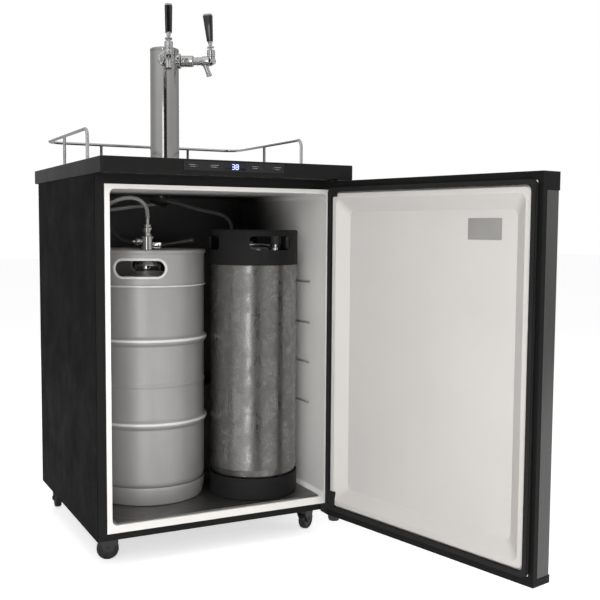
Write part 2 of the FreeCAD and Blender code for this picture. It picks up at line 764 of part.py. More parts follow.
def rear_cover():
    """Louvred steel cover over the compressor room."""
    z1 = ROOM_Z - SEAT_GAP
    sheet = box(-INNER_X, INNER_X, INNER_BACK, BACK_Y, PAN_Z, z1)
    pitch = (z1 - PAN_Z - 2 * LOUVRE_MARGIN) / (LOUVRE_COUNT - 1)
    half = LOUVRE_LENGTH / 2
    slots = []
    hoods = []
    for i in range(LOUVRE_COUNT):
        z = PAN_Z + LOUVRE_MARGIN + i * pitch
        slots.append(box(-half, half, INNER_BACK - 1, BACK_Y + 1, z - LOUVRE_SLOT / 2, z + LOUVRE_SLOT / 2))
        top = z + LOUVRE_SLOT / 2 + LOUVRE_HOOD
        hood = [(INNER_BACK, top, 0), (BACK_Y, top, 0), (BACK_Y + LOUVRE_HOOD, z - LOUVRE_SLOT / 2, 0),
                (BACK_Y + LOUVRE_HOOD - SHEET, z - LOUVRE_SLOT / 2, 0), (INNER_BACK, top - SHEET, 0)]
        hoods.append(prism(hood, "yz", -half, half))
    return fused(sheet.cut(Part.makeCompound(slots)), *hoods)


# ------------------------------------------------------------------ counter top and controls
def panel_z0():
    """Height of the lower edge of the control panel."""
    return TOP_Z - PANEL_BELOW_TOP - PANEL_HEIGHT


def counter_top():
    """Counter slab with the recess for the control panel and the hole under the tower."""
    x = COUNTER_WIDTH / 2
    slab = prism([(-x, 0, COUNTER_CORNER), (x, 0, COUNTER_CORNER), (x, COUNTER_DEPTH, COUNTER_CORNER),
                  (-x, COUNTER_DEPTH, COUNTER_CORNER)], "xy", BODY_Z1, TOP_Z)
    half = PANEL_WIDTH / 2 + SEAT_GAP
    z0 = panel_z0() - SEAT_GAP
    z1 = panel_z0() + PANEL_HEIGHT + SEAT_GAP
    recess = box(-half, half, -1, PANEL_SETBACK + PANEL_DEPTH + SEAT_GAP, z0, z1)
    return slab.cut(recess).cut(liner_hole(LINE_HOLE_RADIUS))


def control_panel():
    """Control panel with a display recess and four button bores that widen behind the fascia."""
    half = PANEL_WIDTH / 2
    z0 = panel_z0()
    y0 = PANEL_SETBACK
    z = z0 + PANEL_HEIGHT / 2
    panel = box(-half, half, y0, y0 + PANEL_DEPTH, z0, z0 + PANEL_HEIGHT)
    cuts = [box(-DISPLAY_WIDTH / 2, DISPLAY_WIDTH / 2, y0 - 1, y0 + DISPLAY_RECESS,
                z - DISPLAY_HEIGHT / 2, z + DISPLAY_HEIGHT / 2)]
    bore = BUTTON_RADIUS + BUTTON_BORE_GAP
    well = bore + BUTTON_FLANGE_STEP + BUTTON_BORE_GAP
    fascia = y0 + PANEL_FASCIA
    depth = fascia + SEAT_GAP + BUTTON_FLANGE + BUTTON_TRAVEL + SEAT_GAP
    for x in BUTTON_X:
        cuts.append(rod(bore, V(x, y0 - 1, z), V(x, fascia + 0.1, z)))
        cuts.append(rod(well, V(x, fascia, z), V(x, depth, z)))
    return panel.cut(Part.makeCompound(cuts))


def button(x):
    """Push button with the flange that holds it behind the fascia."""
    z = panel_z0() + PANEL_HEIGHT / 2
    fascia = PANEL_SETBACK + PANEL_FASCIA + SEAT_GAP
    cap = rod(BUTTON_RADIUS, V(x, PANEL_SETBACK - BUTTON_PROUD, z), V(x, fascia + BUTTON_FLANGE, z))
    flange_radius = BUTTON_RADIUS + BUTTON_BORE_GAP + BUTTON_FLANGE_STEP
    flange = rod(flange_radius, V(x, fascia, z), V(x, fascia + BUTTON_FLANGE, z))
    return fused(cap, flange)


def guard_rail():
    """Bent chrome rail with welded posts and foot flanges."""
    z = TOP_Z + RAIL_HEIGHT
    x = RAIL_HALF_WIDTH
    corners = [(-x, RAIL_FRONT, z), (-x, RAIL_REAR, z), (x, RAIL_REAR, z), (x, RAIL_FRONT, z)]
    ends = [V(side * x, RAIL_FRONT, TOP_Z + 1) for side in (-1, 1)]
    route = [ends[0], *[V(*corner) for corner in corners], ends[1]]
    radii = [RAIL_FRONT_BEND, RAIL_CORNER_BEND, RAIL_CORNER_BEND, RAIL_FRONT_BEND]
    rail = swept(bent_path(route, radii), RAIL_RADIUS)
    feet_at = [(-x, RAIL_FRONT), (x, RAIL_FRONT)]
    posts_at = [(-x, RAIL_MID_POST), (x, RAIL_MID_POST)]
    posts_at += [(side * RAIL_REAR_POST, RAIL_REAR) for side in (-1, 1)]
    posts = [rod(RAIL_RADIUS * 0.95, V(px, py, TOP_Z + 1), V(px, py, z)) for px, py in posts_at]
    feet = []
    for px, py in feet_at + posts_at:
        profile = [(0, 0, 0), (RAIL_FOOT_RADIUS, 0, 0), (RAIL_FOOT_RADIUS - 1, RAIL_FOOT_THICK, 0),
                   (0, RAIL_FOOT_THICK, 0)]
        feet.append(lathe(profile, px, py, TOP_Z))
    return fused(rail, *posts, *feet)


def tray_rect(inset):
    """Drip tray outline moved in by an inset."""
    x = TRAY_WIDTH / 2 - inset
    y0 = TRAY_FRONT + inset
    y1 = TRAY_FRONT + TRAY_DEPTH - inset
    return rounded(-x, x, y0, y1, TRAY_CORNER - inset)


def drip_tray():
    """Shallow steel tray with an inner step that carries the grille."""
    z1 = TOP_Z + TRAY_HEIGHT
    step = z1 - GRILLE_THICK
    tray = prism(tray_rect(0), "xy", TOP_Z, z1)
    upper = prism(tray_rect(TRAY_WALL), "xy", step, z1 + 1)
    lower = prism(tray_rect(TRAY_WALL + TRAY_LEDGE), "xy", TOP_Z + TRAY_WALL, z1)
    return tray.cut(upper).cut(lower)


def drip_grille():
    """Slotted steel plate in the mouth of the tray."""
    z1 = TOP_Z + TRAY_HEIGHT
    z0 = z1 - GRILLE_THICK
    plate = prism(tray_rect(TRAY_WALL + SEAT_GAP), "xy", z0, z1)
    x0 = -TRAY_WIDTH / 2 + GRILLE_MARGIN
    y0 = TRAY_FRONT + GRILLE_MARGIN
    pitch_x = (TRAY_WIDTH - 2 * GRILLE_MARGIN + GRILLE_BAR) / GRILLE_SLOTS
    pitch_y = (TRAY_DEPTH - 2 * GRILLE_MARGIN + GRILLE_BAR) / GRILLE_ROWS
    slots = []
    for i in range(GRILLE_SLOTS):
        for j in range(GRILLE_ROWS):
            x = x0 + i * pitch_x
            y = y0 + j * pitch_y
            slots.append(box(x, x + pitch_x - GRILLE_BAR, y, y + pitch_y - GRILLE_BAR, z0 - 1, z1 + 1))
    return plate.cut(Part.makeCompound(slots))


# ------------------------------------------------------------------ draft tower
def on_tower(shape, side):
    """Piece built with the faucet pointing to -Y from the tower's axis, turned to its own bearing."""
    placed = turned(shape, FAUCET_BEARINGS[side])
    placed.translate(V(0, TOWER_Y, 0))
    return placed


def along_barrel(profile):
    """Profile of (radius, distance from the tower's axis, corner radius) turned about the faucet's axis."""
    solid = lathe(profile)
    solid.rotate(ORIGIN, V(1, 0, 0), 90)
    solid.translate(V(0, 0, BARREL_Z))
    return solid


def tower_column():
    """Brushed steel column with a hole for each faucet shank."""
    tube = ring(TOWER_RADIUS, TOWER_RADIUS - TOWER_WALL, TOP_Z, TOP_Z + TOWER_HEIGHT, 0, TOWER_Y)
    for side in FAUCET_BEARINGS:
        radius = SHANK_RADIUS + SEAT_GAP
        hole = along_barrel([(0, 0, 0), (radius, 0, 0), (radius, SADDLE_END, 0), (0, SADDLE_END, 0)])
        tube = tube.cut(on_tower(hole, side))
    return tube


def tower_cap():
    """Cap with a spigot that drops into the column."""
    z = TOP_Z + TOWER_HEIGHT
    inner = TOWER_RADIUS - TOWER_WALL - SEAT_GAP
    profile = [(0, -TOWER_CAP_SPIGOT, 0), (inner, -TOWER_CAP_SPIGOT, 0), (inner, 0, 0), (TOWER_RADIUS, 0, 0),
               (TOWER_RADIUS, TOWER_CAP_THICK, TOWER_CAP_ROUND), (0, TOWER_CAP_THICK, 0)]
    return lathe(profile, 0, TOWER_Y, z)


def tower_flange():
    """Base flange round the foot of the column."""
    inner = TOWER_RADIUS + SEAT_GAP
    outer = TOWER_FLANGE_RADIUS
    profile = [(inner, 0, 0), (outer, 0, 0), (outer, TOWER_FLANGE_THICK, TOWER_FLANGE_ROUND),
               (inner, TOWER_FLANGE_THICK, 0)]
    return lathe(profile, 0, TOWER_Y, TOP_Z)


def shank():
    """Threaded shank with the nut inside the column."""
    tube = along_barrel([(SHANK_BORE, SHANK_START, 0), (SHANK_RADIUS, SHANK_START, 0),
                         (SHANK_RADIUS, SHANK_END, 0), (SHANK_BORE, SHANK_END, 0)])
    nut_end = SHANK_NUT_START + SHANK_NUT_THICK
    nut = along_barrel([(SHANK_BORE, SHANK_NUT_START, 0), (SHANK_NUT_RADIUS, SHANK_NUT_START, 0),
                        (SHANK_NUT_RADIUS, nut_end, 0), (SHANK_BORE, nut_end, 0)])
    saddle = along_barrel([(SHANK_BORE, TOWER_WALL, 0), (SADDLE_RADIUS, TOWER_WALL, 0),
                           (SADDLE_RADIUS, SADDLE_END, 0), (SHANK_BORE, SADDLE_END, 0)])
    column = Part.makeCylinder(TOWER_RADIUS, TOWER_HEIGHT, V(0, 0, TOP_Z))
    return fused(tube, nut, saddle.cut(column))


def coupling_nut():
    """Round coupling nut that pulls the faucet on to its shank."""
    inner = SHANK_RADIUS + SEAT_GAP
    lip = NECK_RADIUS + SEAT_GAP
    lip_start = COUPLING_END - COUPLING_LIP
    bevel = COUPLING_LIP - 0.5
    profile = [(inner, COUPLING_START, 0), (COUPLING_RADIUS, COUPLING_START, 0),
               (COUPLING_RADIUS, COUPLING_END - bevel, 0), (COUPLING_RADIUS - bevel, COUPLING_END, 0),
               (lip, COUPLING_END, 0), (lip, lip_start, 0), (inner, lip_start, 0)]
    return along_barrel(profile)


def faucet_shanks():
    """Both shanks with their coupling nuts."""
    pieces = []
    for side in FAUCET_BEARINGS:
        pieces.append(on_tower(shank(), side))
        pieces.append(on_tower(coupling_nut(), side))
    return Part.makeCompound(pieces)


def faucet():
    """Faucet body: neck, barrel with a rounded nose, bonnet seat and slanted spout."""
    barrel = along_barrel([(0, BODY_START, 0), (NECK_RADIUS, BODY_START, 0), (NECK_RADIUS, BODY_SHOULDER, 0),
                           (BODY_RADIUS, BODY_SHOULDER + BODY_SWELL, BODY_SWELL_ROUND),
                           (BODY_RADIUS, BODY_END - NOSE_LENGTH, NOSE_ROUND),
                           (BODY_RADIUS * 0.4, BODY_END, BODY_SWELL_ROUND), (0, BODY_END, 0)])
    seat_z = BARREL_Z + BONNET_FOOT
    ball_z = PIVOT_Z - BALL_RADIUS - BALL_GAP
    seat = lathe([(0, BARREL_Z, 0), (BONNET_RADIUS, BARREL_Z, 0), (BONNET_RADIUS, seat_z, 0),
                  (BALL_RADIUS, seat_z, 0), (BALL_RADIUS, ball_z, 0), (0, ball_z, 0)], 0, -LEVER_AXIS)
    start = V(0, -SPOUT_START, BARREL_Z)
    tip = V(0, -SPOUT_TIP, BARREL_Z - SPOUT_DROP)
    along = (tip - start).normalize()
    lip_start = tip - along * SPOUT_LIP_LENGTH
    lip = Part.makeCone(SPOUT_RADIUS, SPOUT_LIP_RADIUS, SPOUT_LIP_LENGTH, lip_start, along)
    body = fused(barrel, seat, rod(SPOUT_RADIUS, start, tip), lip)
    return body.cut(rod(SPOUT_BORE, tip - along * SPOUT_BORE_DEPTH, tip + along))


def bonnet_nut():
    """Bonnet nut over the lever's ball."""
    z0 = BARREL_Z + BONNET_FOOT
    z1 = z0 + BONNET_HEIGHT
    bore = BALL_RADIUS + BALL_GAP
    rim = bore + BONNET_ROUND / 4
    profile = [(bore, z0, 0), (BONNET_RADIUS, z0, 0), (BONNET_RADIUS, z1 - BONNET_ROUND, 0), (rim, z1, 0),
               (bore, z1, 0)]
    return lathe(profile, 0, -LEVER_AXIS)


def bonnet_nuts():
    """Both bonnet nuts, hollowed where they sit over the faucet's barrel."""
    nut = bonnet_nut().cut(faucet())
    return Part.makeCompound([on_tower(nut, side) for side in FAUCET_BEARINGS])


def tilted(shape):
    """Lever piece tilted back from upright about its pivot."""
    shape.rotate(V(0, -LEVER_AXIS, PIVOT_Z), V(1, 0, 0), LEVER_TILT)
    return shape


def lever():
    """Faucet lever: ball, stem, collar, ferrule and the stud that the tap handle screws on."""
    ball = Part.makeSphere(BALL_RADIUS, V(0, -LEVER_AXIS, PIVOT_Z))
    collar_end = LEVER_COLLAR_START + LEVER_COLLAR_THICK
    profile = [(0, 0, 0), (LEVER_STEM_RADIUS, 0, 0), (LEVER_STEM_RADIUS, LEVER_COLLAR_START, 0),
               (LEVER_COLLAR_RADIUS, LEVER_COLLAR_START, 0), (LEVER_COLLAR_RADIUS, collar_end, 1.5),
               (FERRULE_BASE_RADIUS, collar_end, 0), (FERRULE_TOP_RADIUS, FERRULE_END, 0),
               (STUD_RADIUS, FERRULE_END, 0), (STUD_RADIUS, FERRULE_END + STUD_LENGTH, 0),
               (0, FERRULE_END + STUD_LENGTH, 0)]
    stem = lathe(profile, 0, -LEVER_AXIS, PIVOT_Z)
    return tilted(fused(ball, stem))


def grip_section(width, depth, height):
    """Rounded rectangle across the tap handle at a height above the pivot."""
    wire = outline(rounded(-width / 2, width / 2, -depth / 2, depth / 2, GRIP_CORNER), "xy")
    wire.translate(V(0, -LEVER_AXIS, PIVOT_Z + height))
    return wire


def tap_handle():
    """Tapered tap handle with a separate end cap, bored for the lever's stud."""
    z0 = FERRULE_END
    z1 = z0 + GRIP_LENGTH
    grip = Part.makeLoft([grip_section(*GRIP_BASE, z0), grip_section(*GRIP_TOP, z1)], True, True)
    start = V(0, -LEVER_AXIS, PIVOT_Z + z0 - 1)
    grip = grip.cut(rod(STUD_RADIUS + STUD_GAP, start, start + UP * (STUD_LENGTH + 1 + SEAT_GAP)))
    crown = [side - 5 for side in GRIP_TOP]
    cap = Part.makeLoft([grip_section(*GRIP_TOP, z1), grip_section(*crown, z1 + GRIP_CAP_THICK)], True, True)
    return tilted(Part.makeCompound([grip, cap]))


# ------------------------------------------------------------------ door, drawn closed and then swung open
def opened(shape):
    """Door piece swung open about the hinge pins."""
    return turned(shape, DOOR_OPEN_ANGLE, PIN_X, PIN_Y)


def pin_bore(z0, z1):
    """Bore for a hinge pin."""
    return rod(PIN_RADIUS + PIN_GAP, V(PIN_X, PIN_Y, z0), V(PIN_X, PIN_Y, z1))


def door_plan(y0, y1, z0, z1):
    """Block over the door's full width with rounded upright outer edges."""
    corners = [(DOOR_X0, y0, DOOR_CORNER), (DOOR_X1, y0, DOOR_CORNER), (DOOR_X1, y1, 0), (DOOR_X0, y1, 0)]
    return prism(corners, "xy", z0, z1)


def flange_rect():
    """Outer edge of the door liner's flange."""
    return (LINER_X0 - DOOR_FLANGE, LINER_X1 + DOOR_FLANGE, LINER_Z0 - DOOR_FLANGE, LINER_Z1 + DOOR_FLANGE)


def door_frame():
    """Black door frame: top cap with the finger pocket, bottom cap and two side strips."""
    x0, x1, z0, z1 = flange_rect()
    top = fused(door_plan(DOOR_Y0, STRIP_Y - SEAT_GAP, SKIN_Z1, DOOR_Z1),
                box(DOOR_X0, DOOR_X1, STRIP_Y - 1, DOOR_Y1, z1 + SEAT_GAP, DOOR_Z1))
    bottom = fused(door_plan(DOOR_Y0, DOOR_Y1, DOOR_Z0, SKIN_Z0),
                   box(DOOR_X0, DOOR_X1, STRIP_Y, DOOR_Y1, DOOR_Z0, z0 - SEAT_GAP))
    middle = (SKIN_Z1 + DOOR_Z1) / 2
    half = POCKET_WIDTH / 2
    mouth = rounded(-half, half, middle - POCKET_HEIGHT / 2, middle + POCKET_HEIGHT / 2, POCKET_CORNER)
    pocket = prism(mouth, "xz", DOOR_Y0 - 1, DOOR_Y0 + POCKET_DEPTH)
    top = top.cut(pocket).cut(pin_bore(DOOR_Z1 - PIN_REACH, DOOR_Z1 + 1))
    bottom = bottom.cut(pin_bore(DOOR_Z0 - 1, SKIN_Z0 - BASE_SHEET))
    left = box(DOOR_X0, x0 - SEAT_GAP, STRIP_Y, DOOR_Y1, z0 - SEAT_GAP, z1 + SEAT_GAP)
    right = box(x1 + SEAT_GAP, DOOR_X1, STRIP_Y, DOOR_Y1, z0 - SEAT_GAP, z1 + SEAT_GAP)
    return opened(Part.makeCompound([top, bottom, left, right]))


def door_skin():
    """Stainless front of the door, folded round its two upright edges."""
    x0 = DOOR_X0 + SKIN_INSET
    x1 = DOOR_X1 - SKIN_INSET
    y0 = DOOR_Y0 + SKIN_INSET
    t = SKIN_THICK
    y1 = STRIP_Y + 1
    corner = DOOR_CORNER
    outer = [(x0, y0, corner), (x1, y0, corner), (x1, y1, 0), (x0, y1, 0)]
    inner = [(x0 + t, y0 + t, corner - t), (x1 - t, y0 + t, corner - t), (x1 - t, y1 + 1, 0),
             (x0 + t, y1 + 1, 0)]
    keep = box(x0, x1, y0, STRIP_Y, SKIN_Z0, SKIN_Z1)
    folded = prism(outer, "xy", SKIN_Z0, SKIN_Z1).cut(prism(inner, "xy", SKIN_Z0, SKIN_Z1))
    return opened(folded.common(keep))


def door_liner_form(offset):
    """All that lies behind the visible face of the door liner, moved in by an offset."""
    fx0, fx1, fz0, fz1 = flange_rect()
    rect = (LINER_X0, LINER_X1, LINER_Z0, LINER_Z1)
    top = DOOR_Y1 + RIM_RISE - offset
    slab = box(fx0, fx1, STRIP_Y - 2 * LINER_WALL, DOOR_Y1 - offset, fz0, fz1)
    rim = frustum(grown(rect, -offset, DISH_CORNER), grown(rect, -RIM_DRAFT - offset, DISH_CORNER),
                  DOOR_Y1 - offset - 1, top)
    mouth = offset - RIM_DRAFT - RIM_WIDTH
    rise = 1.0
    slope = DISH_SLOPE / DISH_DEPTH
    floor = grown(rect, mouth - DISH_SLOPE, DISH_CORNER)
    dish = frustum(floor, grown(rect, mouth + slope * rise, DISH_CORNER), top - DISH_DEPTH, top + rise)
    return fused(slab, rim).cut(dish)


def door_liner():
    """White dished door liner with a raised rim."""
    return opened(door_liner_form(0).cut(door_liner_form(LINER_WALL)))


def door_foam():
    """Foam that fills the door behind its skin and liner."""
    gap = SEAT_GAP
    x0 = DOOR_X0 + SKIN_INSET + SKIN_THICK + gap
    x1 = DOOR_X1 - SKIN_INSET - SKIN_THICK - gap
    y0 = DOOR_Y0 + SKIN_INSET + SKIN_THICK + gap
    y1 = DOOR_Y1 + RIM_RISE - DISH_DEPTH - LINER_WALL - gap
    corner = DOOR_CORNER - SKIN_THICK
    plan = [(x0, y0, corner), (x1, y0, corner), (x1, STRIP_Y - gap, 0), (x0, STRIP_Y - gap, 0)]
    front = prism(plan, "xy", SKIN_Z0 + gap, SKIN_Z1 - gap)
    fx0, fx1, fz0, fz1 = flange_rect()
    low = min(STRIP_Y - gap, y1)
    core = box(fx0, fx1, low, DOOR_Y1 + RIM_RISE, SKIN_Z0 + gap + STRIP_THICK, SKIN_Z1 - gap)
    rear = door_liner_form(LINER_WALL + gap).common(core)
    return opened(fused(front.common(box(x0, x1, y0, low, SKIN_Z0, SKIN_Z1)), rear))


def door_gasket():
    """Magnetic gasket with a bellows waist."""
    def loop(inset, y0, y1):
        inner = grown((LINER_X0, LINER_X1, LINER_Z0, LINER_Z1), inset, GASKET_CORNER)
        outer = grown((LINER_X0, LINER_X1, LINER_Z0, LINER_Z1), GASKET_WIDTH - inset, GASKET_CORNER)
        return prism(rounded(*outer), "xz", y0, y1).cut(prism(rounded(*inner), "xz", y0, y1))

    y0 = DOOR_Y1
    y3 = y0 + GASKET_THICK
    base = loop(0, y0, y0 + GASKET_LIP)
    waist = loop(GASKET_WAIST, y0 + GASKET_LIP, y3 - GASKET_LIP)
    head = loop(0, y3 - GASKET_LIP, y3)
    return opened(fused(base, waist, head))


def bracket_x0():
    """Left edge of both hinge brackets."""
    return SIDE_X - SHEET - HINGE_PLATE_WIDTH


def bracket_plate(y1, z0, z1):
    """Flat hinge plate with a round nose about the pin."""
    x0 = bracket_x0()
    x1 = INNER_X - SEAT_GAP
    nose = PIN_X - x1
    y0 = PIN_Y - HINGE_NOSE
    corners = [(x0, y1, 0), (x0, y0, HINGE_NOSE), (x1, y0, abs(nose)), (x1, y1, 0)]
    return prism(corners, "xy", z0, z1)


def hinge_bracket_top():
    """Top hinge plate under the counter, with its pin."""
    z1 = BODY_Z1
    z0 = z1 - HINGE_PLATE_TOP
    plate = bracket_plate(FACE_Y - SEAT_GAP, z0, z1)
    pin = rod(PIN_RADIUS, V(PIN_X, PIN_Y, DOOR_Z1 - PIN_REACH + SEAT_GAP), V(PIN_X, PIN_Y, z0 + 0.5))
    return fused(plate, pin)


def hinge_bracket_bottom():
    """Bottom hinge bracket: angle plate, pin, nylon washer and support foot with its nut."""
    x0 = bracket_x0()
    x1 = INNER_X - SEAT_GAP
    y1 = FACE_Y + BRACKET_LEG
    shelf = bracket_plate(y1, BRACKET_Z0, BRACKET_Z1)
    leg = box(x0 + SEAT_GAP, x1, FACE_Y, y1, BRACKET_Z0, LIP_Z0 - SEAT_GAP)
    pin = rod(PIN_RADIUS, V(PIN_X, PIN_Y, BRACKET_Z1 - 0.5), V(PIN_X, PIN_Y, SKIN_Z0 - BASE_SHEET - SEAT_GAP))
    washer = ring(WASHER_RADIUS, PIN_RADIUS + PIN_GAP, BRACKET_Z1, DOOR_Z0 - SEAT_GAP, PIN_X, PIN_Y)
    foot_x = SIDE_X - FOOT_RADIUS
    nut_z = BRACKET_Z0 - FOOT_NUT_THICK
    nut = Part.makeCylinder(FOOT_NUT_RADIUS, FOOT_NUT_THICK, V(foot_x, FOOT_Y, nut_z))
    sole = nut_z - FOOT_THICK
    foot = lathe([(0, sole, 0), (FOOT_RADIUS * 0.85, sole, 0), (FOOT_RADIUS, sole + FOOT_THICK / 2, 0),
                  (FOOT_RADIUS, nut_z, 0), (0, nut_z, 0)], foot_x, FOOT_Y)
    return Part.makeCompound([fused(shelf, leg, pin), washer, fused(nut, foot)])


# ------------------------------------------------------------------ casters, drawn trailing to +X
def on_caster(shape, corner):
    """Caster piece turned to its heading and moved to its corner."""
    placed = turned(shape, CASTER_HEADINGS[corner])
    x, y = CASTER_PLACES[corner]
    placed.translate(V(x, y, 0))
    return placed


def caster_plate():
    """Mounting plate with its ball race and kingpin."""
    half = CASTER_PLATE / 2
    z0 = CASTER_HEIGHT - CASTER_PLATE_THICK
    plate = prism(rounded(-half, half, -half, half, 6), "xy", z0, CASTER_HEIGHT)
    race = Part.makeCylinder(CASTER_RACE_RADIUS, CASTER_RACE_THICK, V(0, 0, RACE_Z))
    head_z = FORK_UNDER - SEAT_GAP - KINGPIN_HEAD_THICK
    kingpin = rod(KINGPIN_RADIUS, V(0, 0, head_z), V(0, 0, CASTER_HEIGHT))
    head = Part.makeCylinder(KINGPIN_HEAD_RADIUS, KINGPIN_HEAD_THICK, V(0, 0, head_z))
    return fused(plate, race, kingpin, head)


def caster_plates():
    """All four mounting plates."""
    plates = []
    for x, y in CASTER_PLACES.values():
        plate = caster_plate()
        plate.translate(V(x, y, 0))
        plates.append(plate)
    return Part.makeCompound(plates)


def caster_fork(braked):
    """Swivel fork with its axle, and a cross pin for the brake pedal where it has one."""
    axle_x = CASTER_TRAIL
    reach = axle_x + 14
    crown = prism(rounded(-CASTER_RACE_RADIUS - 2, reach, -FORK_OUT, FORK_OUT, 6), "xy", FORK_UNDER, FORK_TOP)
    crown = crown.cut(rod(KINGPIN_RADIUS + KINGPIN_GAP, V(0, 0, FORK_UNDER - 1), V(0, 0, FORK_TOP + 1)))
    boss = AXLE_HEAD_RADIUS + 2.5
    leg = [(-10, FORK_TOP - 0.5, 0), (axle_x - boss, WHEEL_RADIUS - boss, boss * 0.9),
           (axle_x + boss, WHEEL_RADIUS - boss, boss * 0.9)]
    if braked:
        leg += [(BRAKE_PIN_OUT + 4, BRAKE_PIN_UP - 5, 3), (BRAKE_PIN_OUT + 4, BRAKE_PIN_UP + 5, 3)]
    leg.append((reach - 2, FORK_TOP - 0.5, 0))
    legs = [prism(leg, "xz", FORK_IN, FORK_OUT), prism(leg, "xz", -FORK_OUT, -FORK_IN)]
    end = FORK_OUT + AXLE_HEAD_THICK
    axle = rod(AXLE_RADIUS, V(axle_x, -end, WHEEL_RADIUS), V(axle_x, end, WHEEL_RADIUS))
    heads = []
    for side in (-1, 1):
        inner = V(axle_x, side * FORK_OUT, WHEEL_RADIUS)
        heads.append(rod(AXLE_HEAD_RADIUS, inner, V(axle_x, side * end, WHEEL_RADIUS)))
    pieces = [*legs, axle, *heads]
    if braked:
        pieces.append(rod(BRAKE_PIN_RADIUS, V(BRAKE_PIN_OUT, -FORK_OUT, BRAKE_PIN_UP),
                          V(BRAKE_PIN_OUT, FORK_OUT, BRAKE_PIN_UP)))
    return fused(crown, *pieces)


def caster_wheel():
    """Wheel with a dished web, a hub and a rounded tread."""
    half = WHEEL_WIDTH / 2
    bore = AXLE_RADIUS + AXLE_GAP
    rim = WHEEL_RADIUS - 6
    web = half - WHEEL_DISH
    tread = half - WHEEL_CHAMFER
    shoulder = WHEEL_RADIUS - WHEEL_CHAMFER
    side = [(bore, half, 0), (WHEEL_HUB_RADIUS, half, 0), (WHEEL_HUB_RADIUS, web, 0), (rim, web, 0),
            (rim, half, 0), (shoulder, half, 0), (WHEEL_RADIUS, tread, 0)]
    profile = [(r, -y, 0) for r, y, _ in side] + side[::-1]
    wheel = lathe(profile)
    wheel.rotate(ORIGIN, V(1, 0, 0), 90)
    wheel.translate(V(CASTER_TRAIL, 0, WHEEL_RADIUS))
    return wheel


def caster_brake():
    """Brake pedal on the fork's cross pin."""
    half = FORK_IN - BRAKE_SIDE_GAP
    x = BRAKE_PIN_OUT
    z = BRAKE_PIN_UP
    hub = rod(BRAKE_HUB_RADIUS, V(x, -half, z), V(x, half, z))
    tab = [(x, z, 0), (x + BRAKE_TAB, z + 3, 0), (x + BRAKE_TAB, z + 3 + BRAKE_TAB_THICK, 0),
           (x, z + BRAKE_HUB_RADIUS, 0)]
    pedal = fused(hub, prism(tab, "xz", -half, half))
    return pedal.cut(rod(BRAKE_PIN_RADIUS + AXLE_GAP, V(x, -half - 1, z), V(x, half + 1, z)))


# ------------------------------------------------------------------ steel keg and coupler
def keg_shell():
    """Ribbed steel keg body with its domes and valve neck."""
    outer = [(0, KEG_FOOT, 0), (KEG_RADIUS - KEG_SHOULDER_REACH, KEG_FOOT, 0),
             (KEG_RADIUS, CHIME_BOTTOM_HEIGHT, KEG_SHOULDER_ROUND)]
    bands = [(h, KEG_HOOP_HALF, KEG_HOOP_RADIUS, 3.0) for h in KEG_HOOP_HEIGHTS]
    bands.append((KEG_RING_HEIGHT, KEG_RING_HALF, KEG_RING_RADIUS, 0))
    for height, half, radius, corner in sorted(bands):
        outer += [(KEG_RADIUS, height - half, 0), (radius, height - half * 0.5, corner),
                  (radius, height + half * 0.5, corner), (KEG_RADIUS, height + half, 0)]
    outer += [(KEG_RADIUS, KEG_WELD_HEIGHT + 10, 6), (KEG_NECK_RADIUS, KEG_DOME_HEIGHT, 0),
              (KEG_NECK_RADIUS, KEG_NECK_HEIGHT, 2), (0, KEG_NECK_HEIGHT, 0)]
    bore = KEG_RADIUS - KEG_WALL
    floor = KEG_FOOT + KEG_WALL
    inner = [(0, floor, 0), (bore - KEG_BORE_REACH, floor, 0), (bore, CHIME_BOTTOM_HEIGHT, 0),
             (bore, KEG_WELD_HEIGHT - 6, 0), (0, KEG_WELD_HEIGHT + 10, 0)]
    return lathe(outer, KEG_X, KEG_Y, KEG_Z).cut(lathe(inner, KEG_X, KEG_Y, KEG_Z))


def keg_top_chime():
    """Top chime with a rolled rim and two handle holes."""
    r = CHIME_RADIUS
    low = KEG_WELD_HEIGHT
    top = KEG_HEIGHT - CHIME_BEAD
    foot = KEG_RADIUS + SEAT_GAP
    weld = foot + CHIME_WELD
    profile = [(foot, low - 2, 0), (weld, low - 1.5, 0), (weld, low + 2.5, 0), (r, low + 4, 0), (r, top, 0),
               (r - CHIME_WALL, top, 0), (r - CHIME_WALL, low + 14, 0), (foot, low + 8, 0)]
    wall = lathe(profile, KEG_X, KEG_Y, KEG_Z)
    centre = r - CHIME_WALL / 2
    bead = lathe([(centre - CHIME_BEAD, top - CHIME_BEAD, 0), (centre + CHIME_BEAD, top - CHIME_BEAD, 0),
                  (centre + CHIME_BEAD, top + CHIME_BEAD, 5), (centre - CHIME_BEAD, top + CHIME_BEAD, 5)],
                 KEG_X, KEG_Y, KEG_Z)
    half = HANDLE_HOLE_WIDTH / 2
    z = KEG_Z + HANDLE_HOLE_MIDDLE
    h = HANDLE_HOLE_HEIGHT / 2
    ends = rounded(KEG_X - half, KEG_X + half, z - h, z + h, h * 0.95)
    slot = prism(ends, "xz", KEG_Y - 2 * r, KEG_Y + 2 * r)
    slot = turned(slot, HANDLE_HOLE_BEARING, KEG_X, KEG_Y)
    return fused(wall, bead).cut(slot)


def keg_bottom_chime():
    """Bottom chime, flush with the barrel and drawn in at the foot."""
    inner = KEG_RADIUS + SEAT_GAP
    r = inner + 1
    toe = CHIME_FOOT_RADIUS - CHIME_FOOT_WALL
    top = CHIME_BOTTOM_HEIGHT
    profile = [(toe, 0, 0), (CHIME_FOOT_RADIUS, 0, 4), (r, CHIME_FOOT_RISE, CHIME_FOOT_ROUND),
               (r, top - 2, 0), (inner + 0.2, top, 0), (inner, top, 0), (inner, top - 4, 0), (toe + 2, 8, 0),
               (toe, 8, 0)]
    return lathe(profile, KEG_X, KEG_Y, KEG_Z)


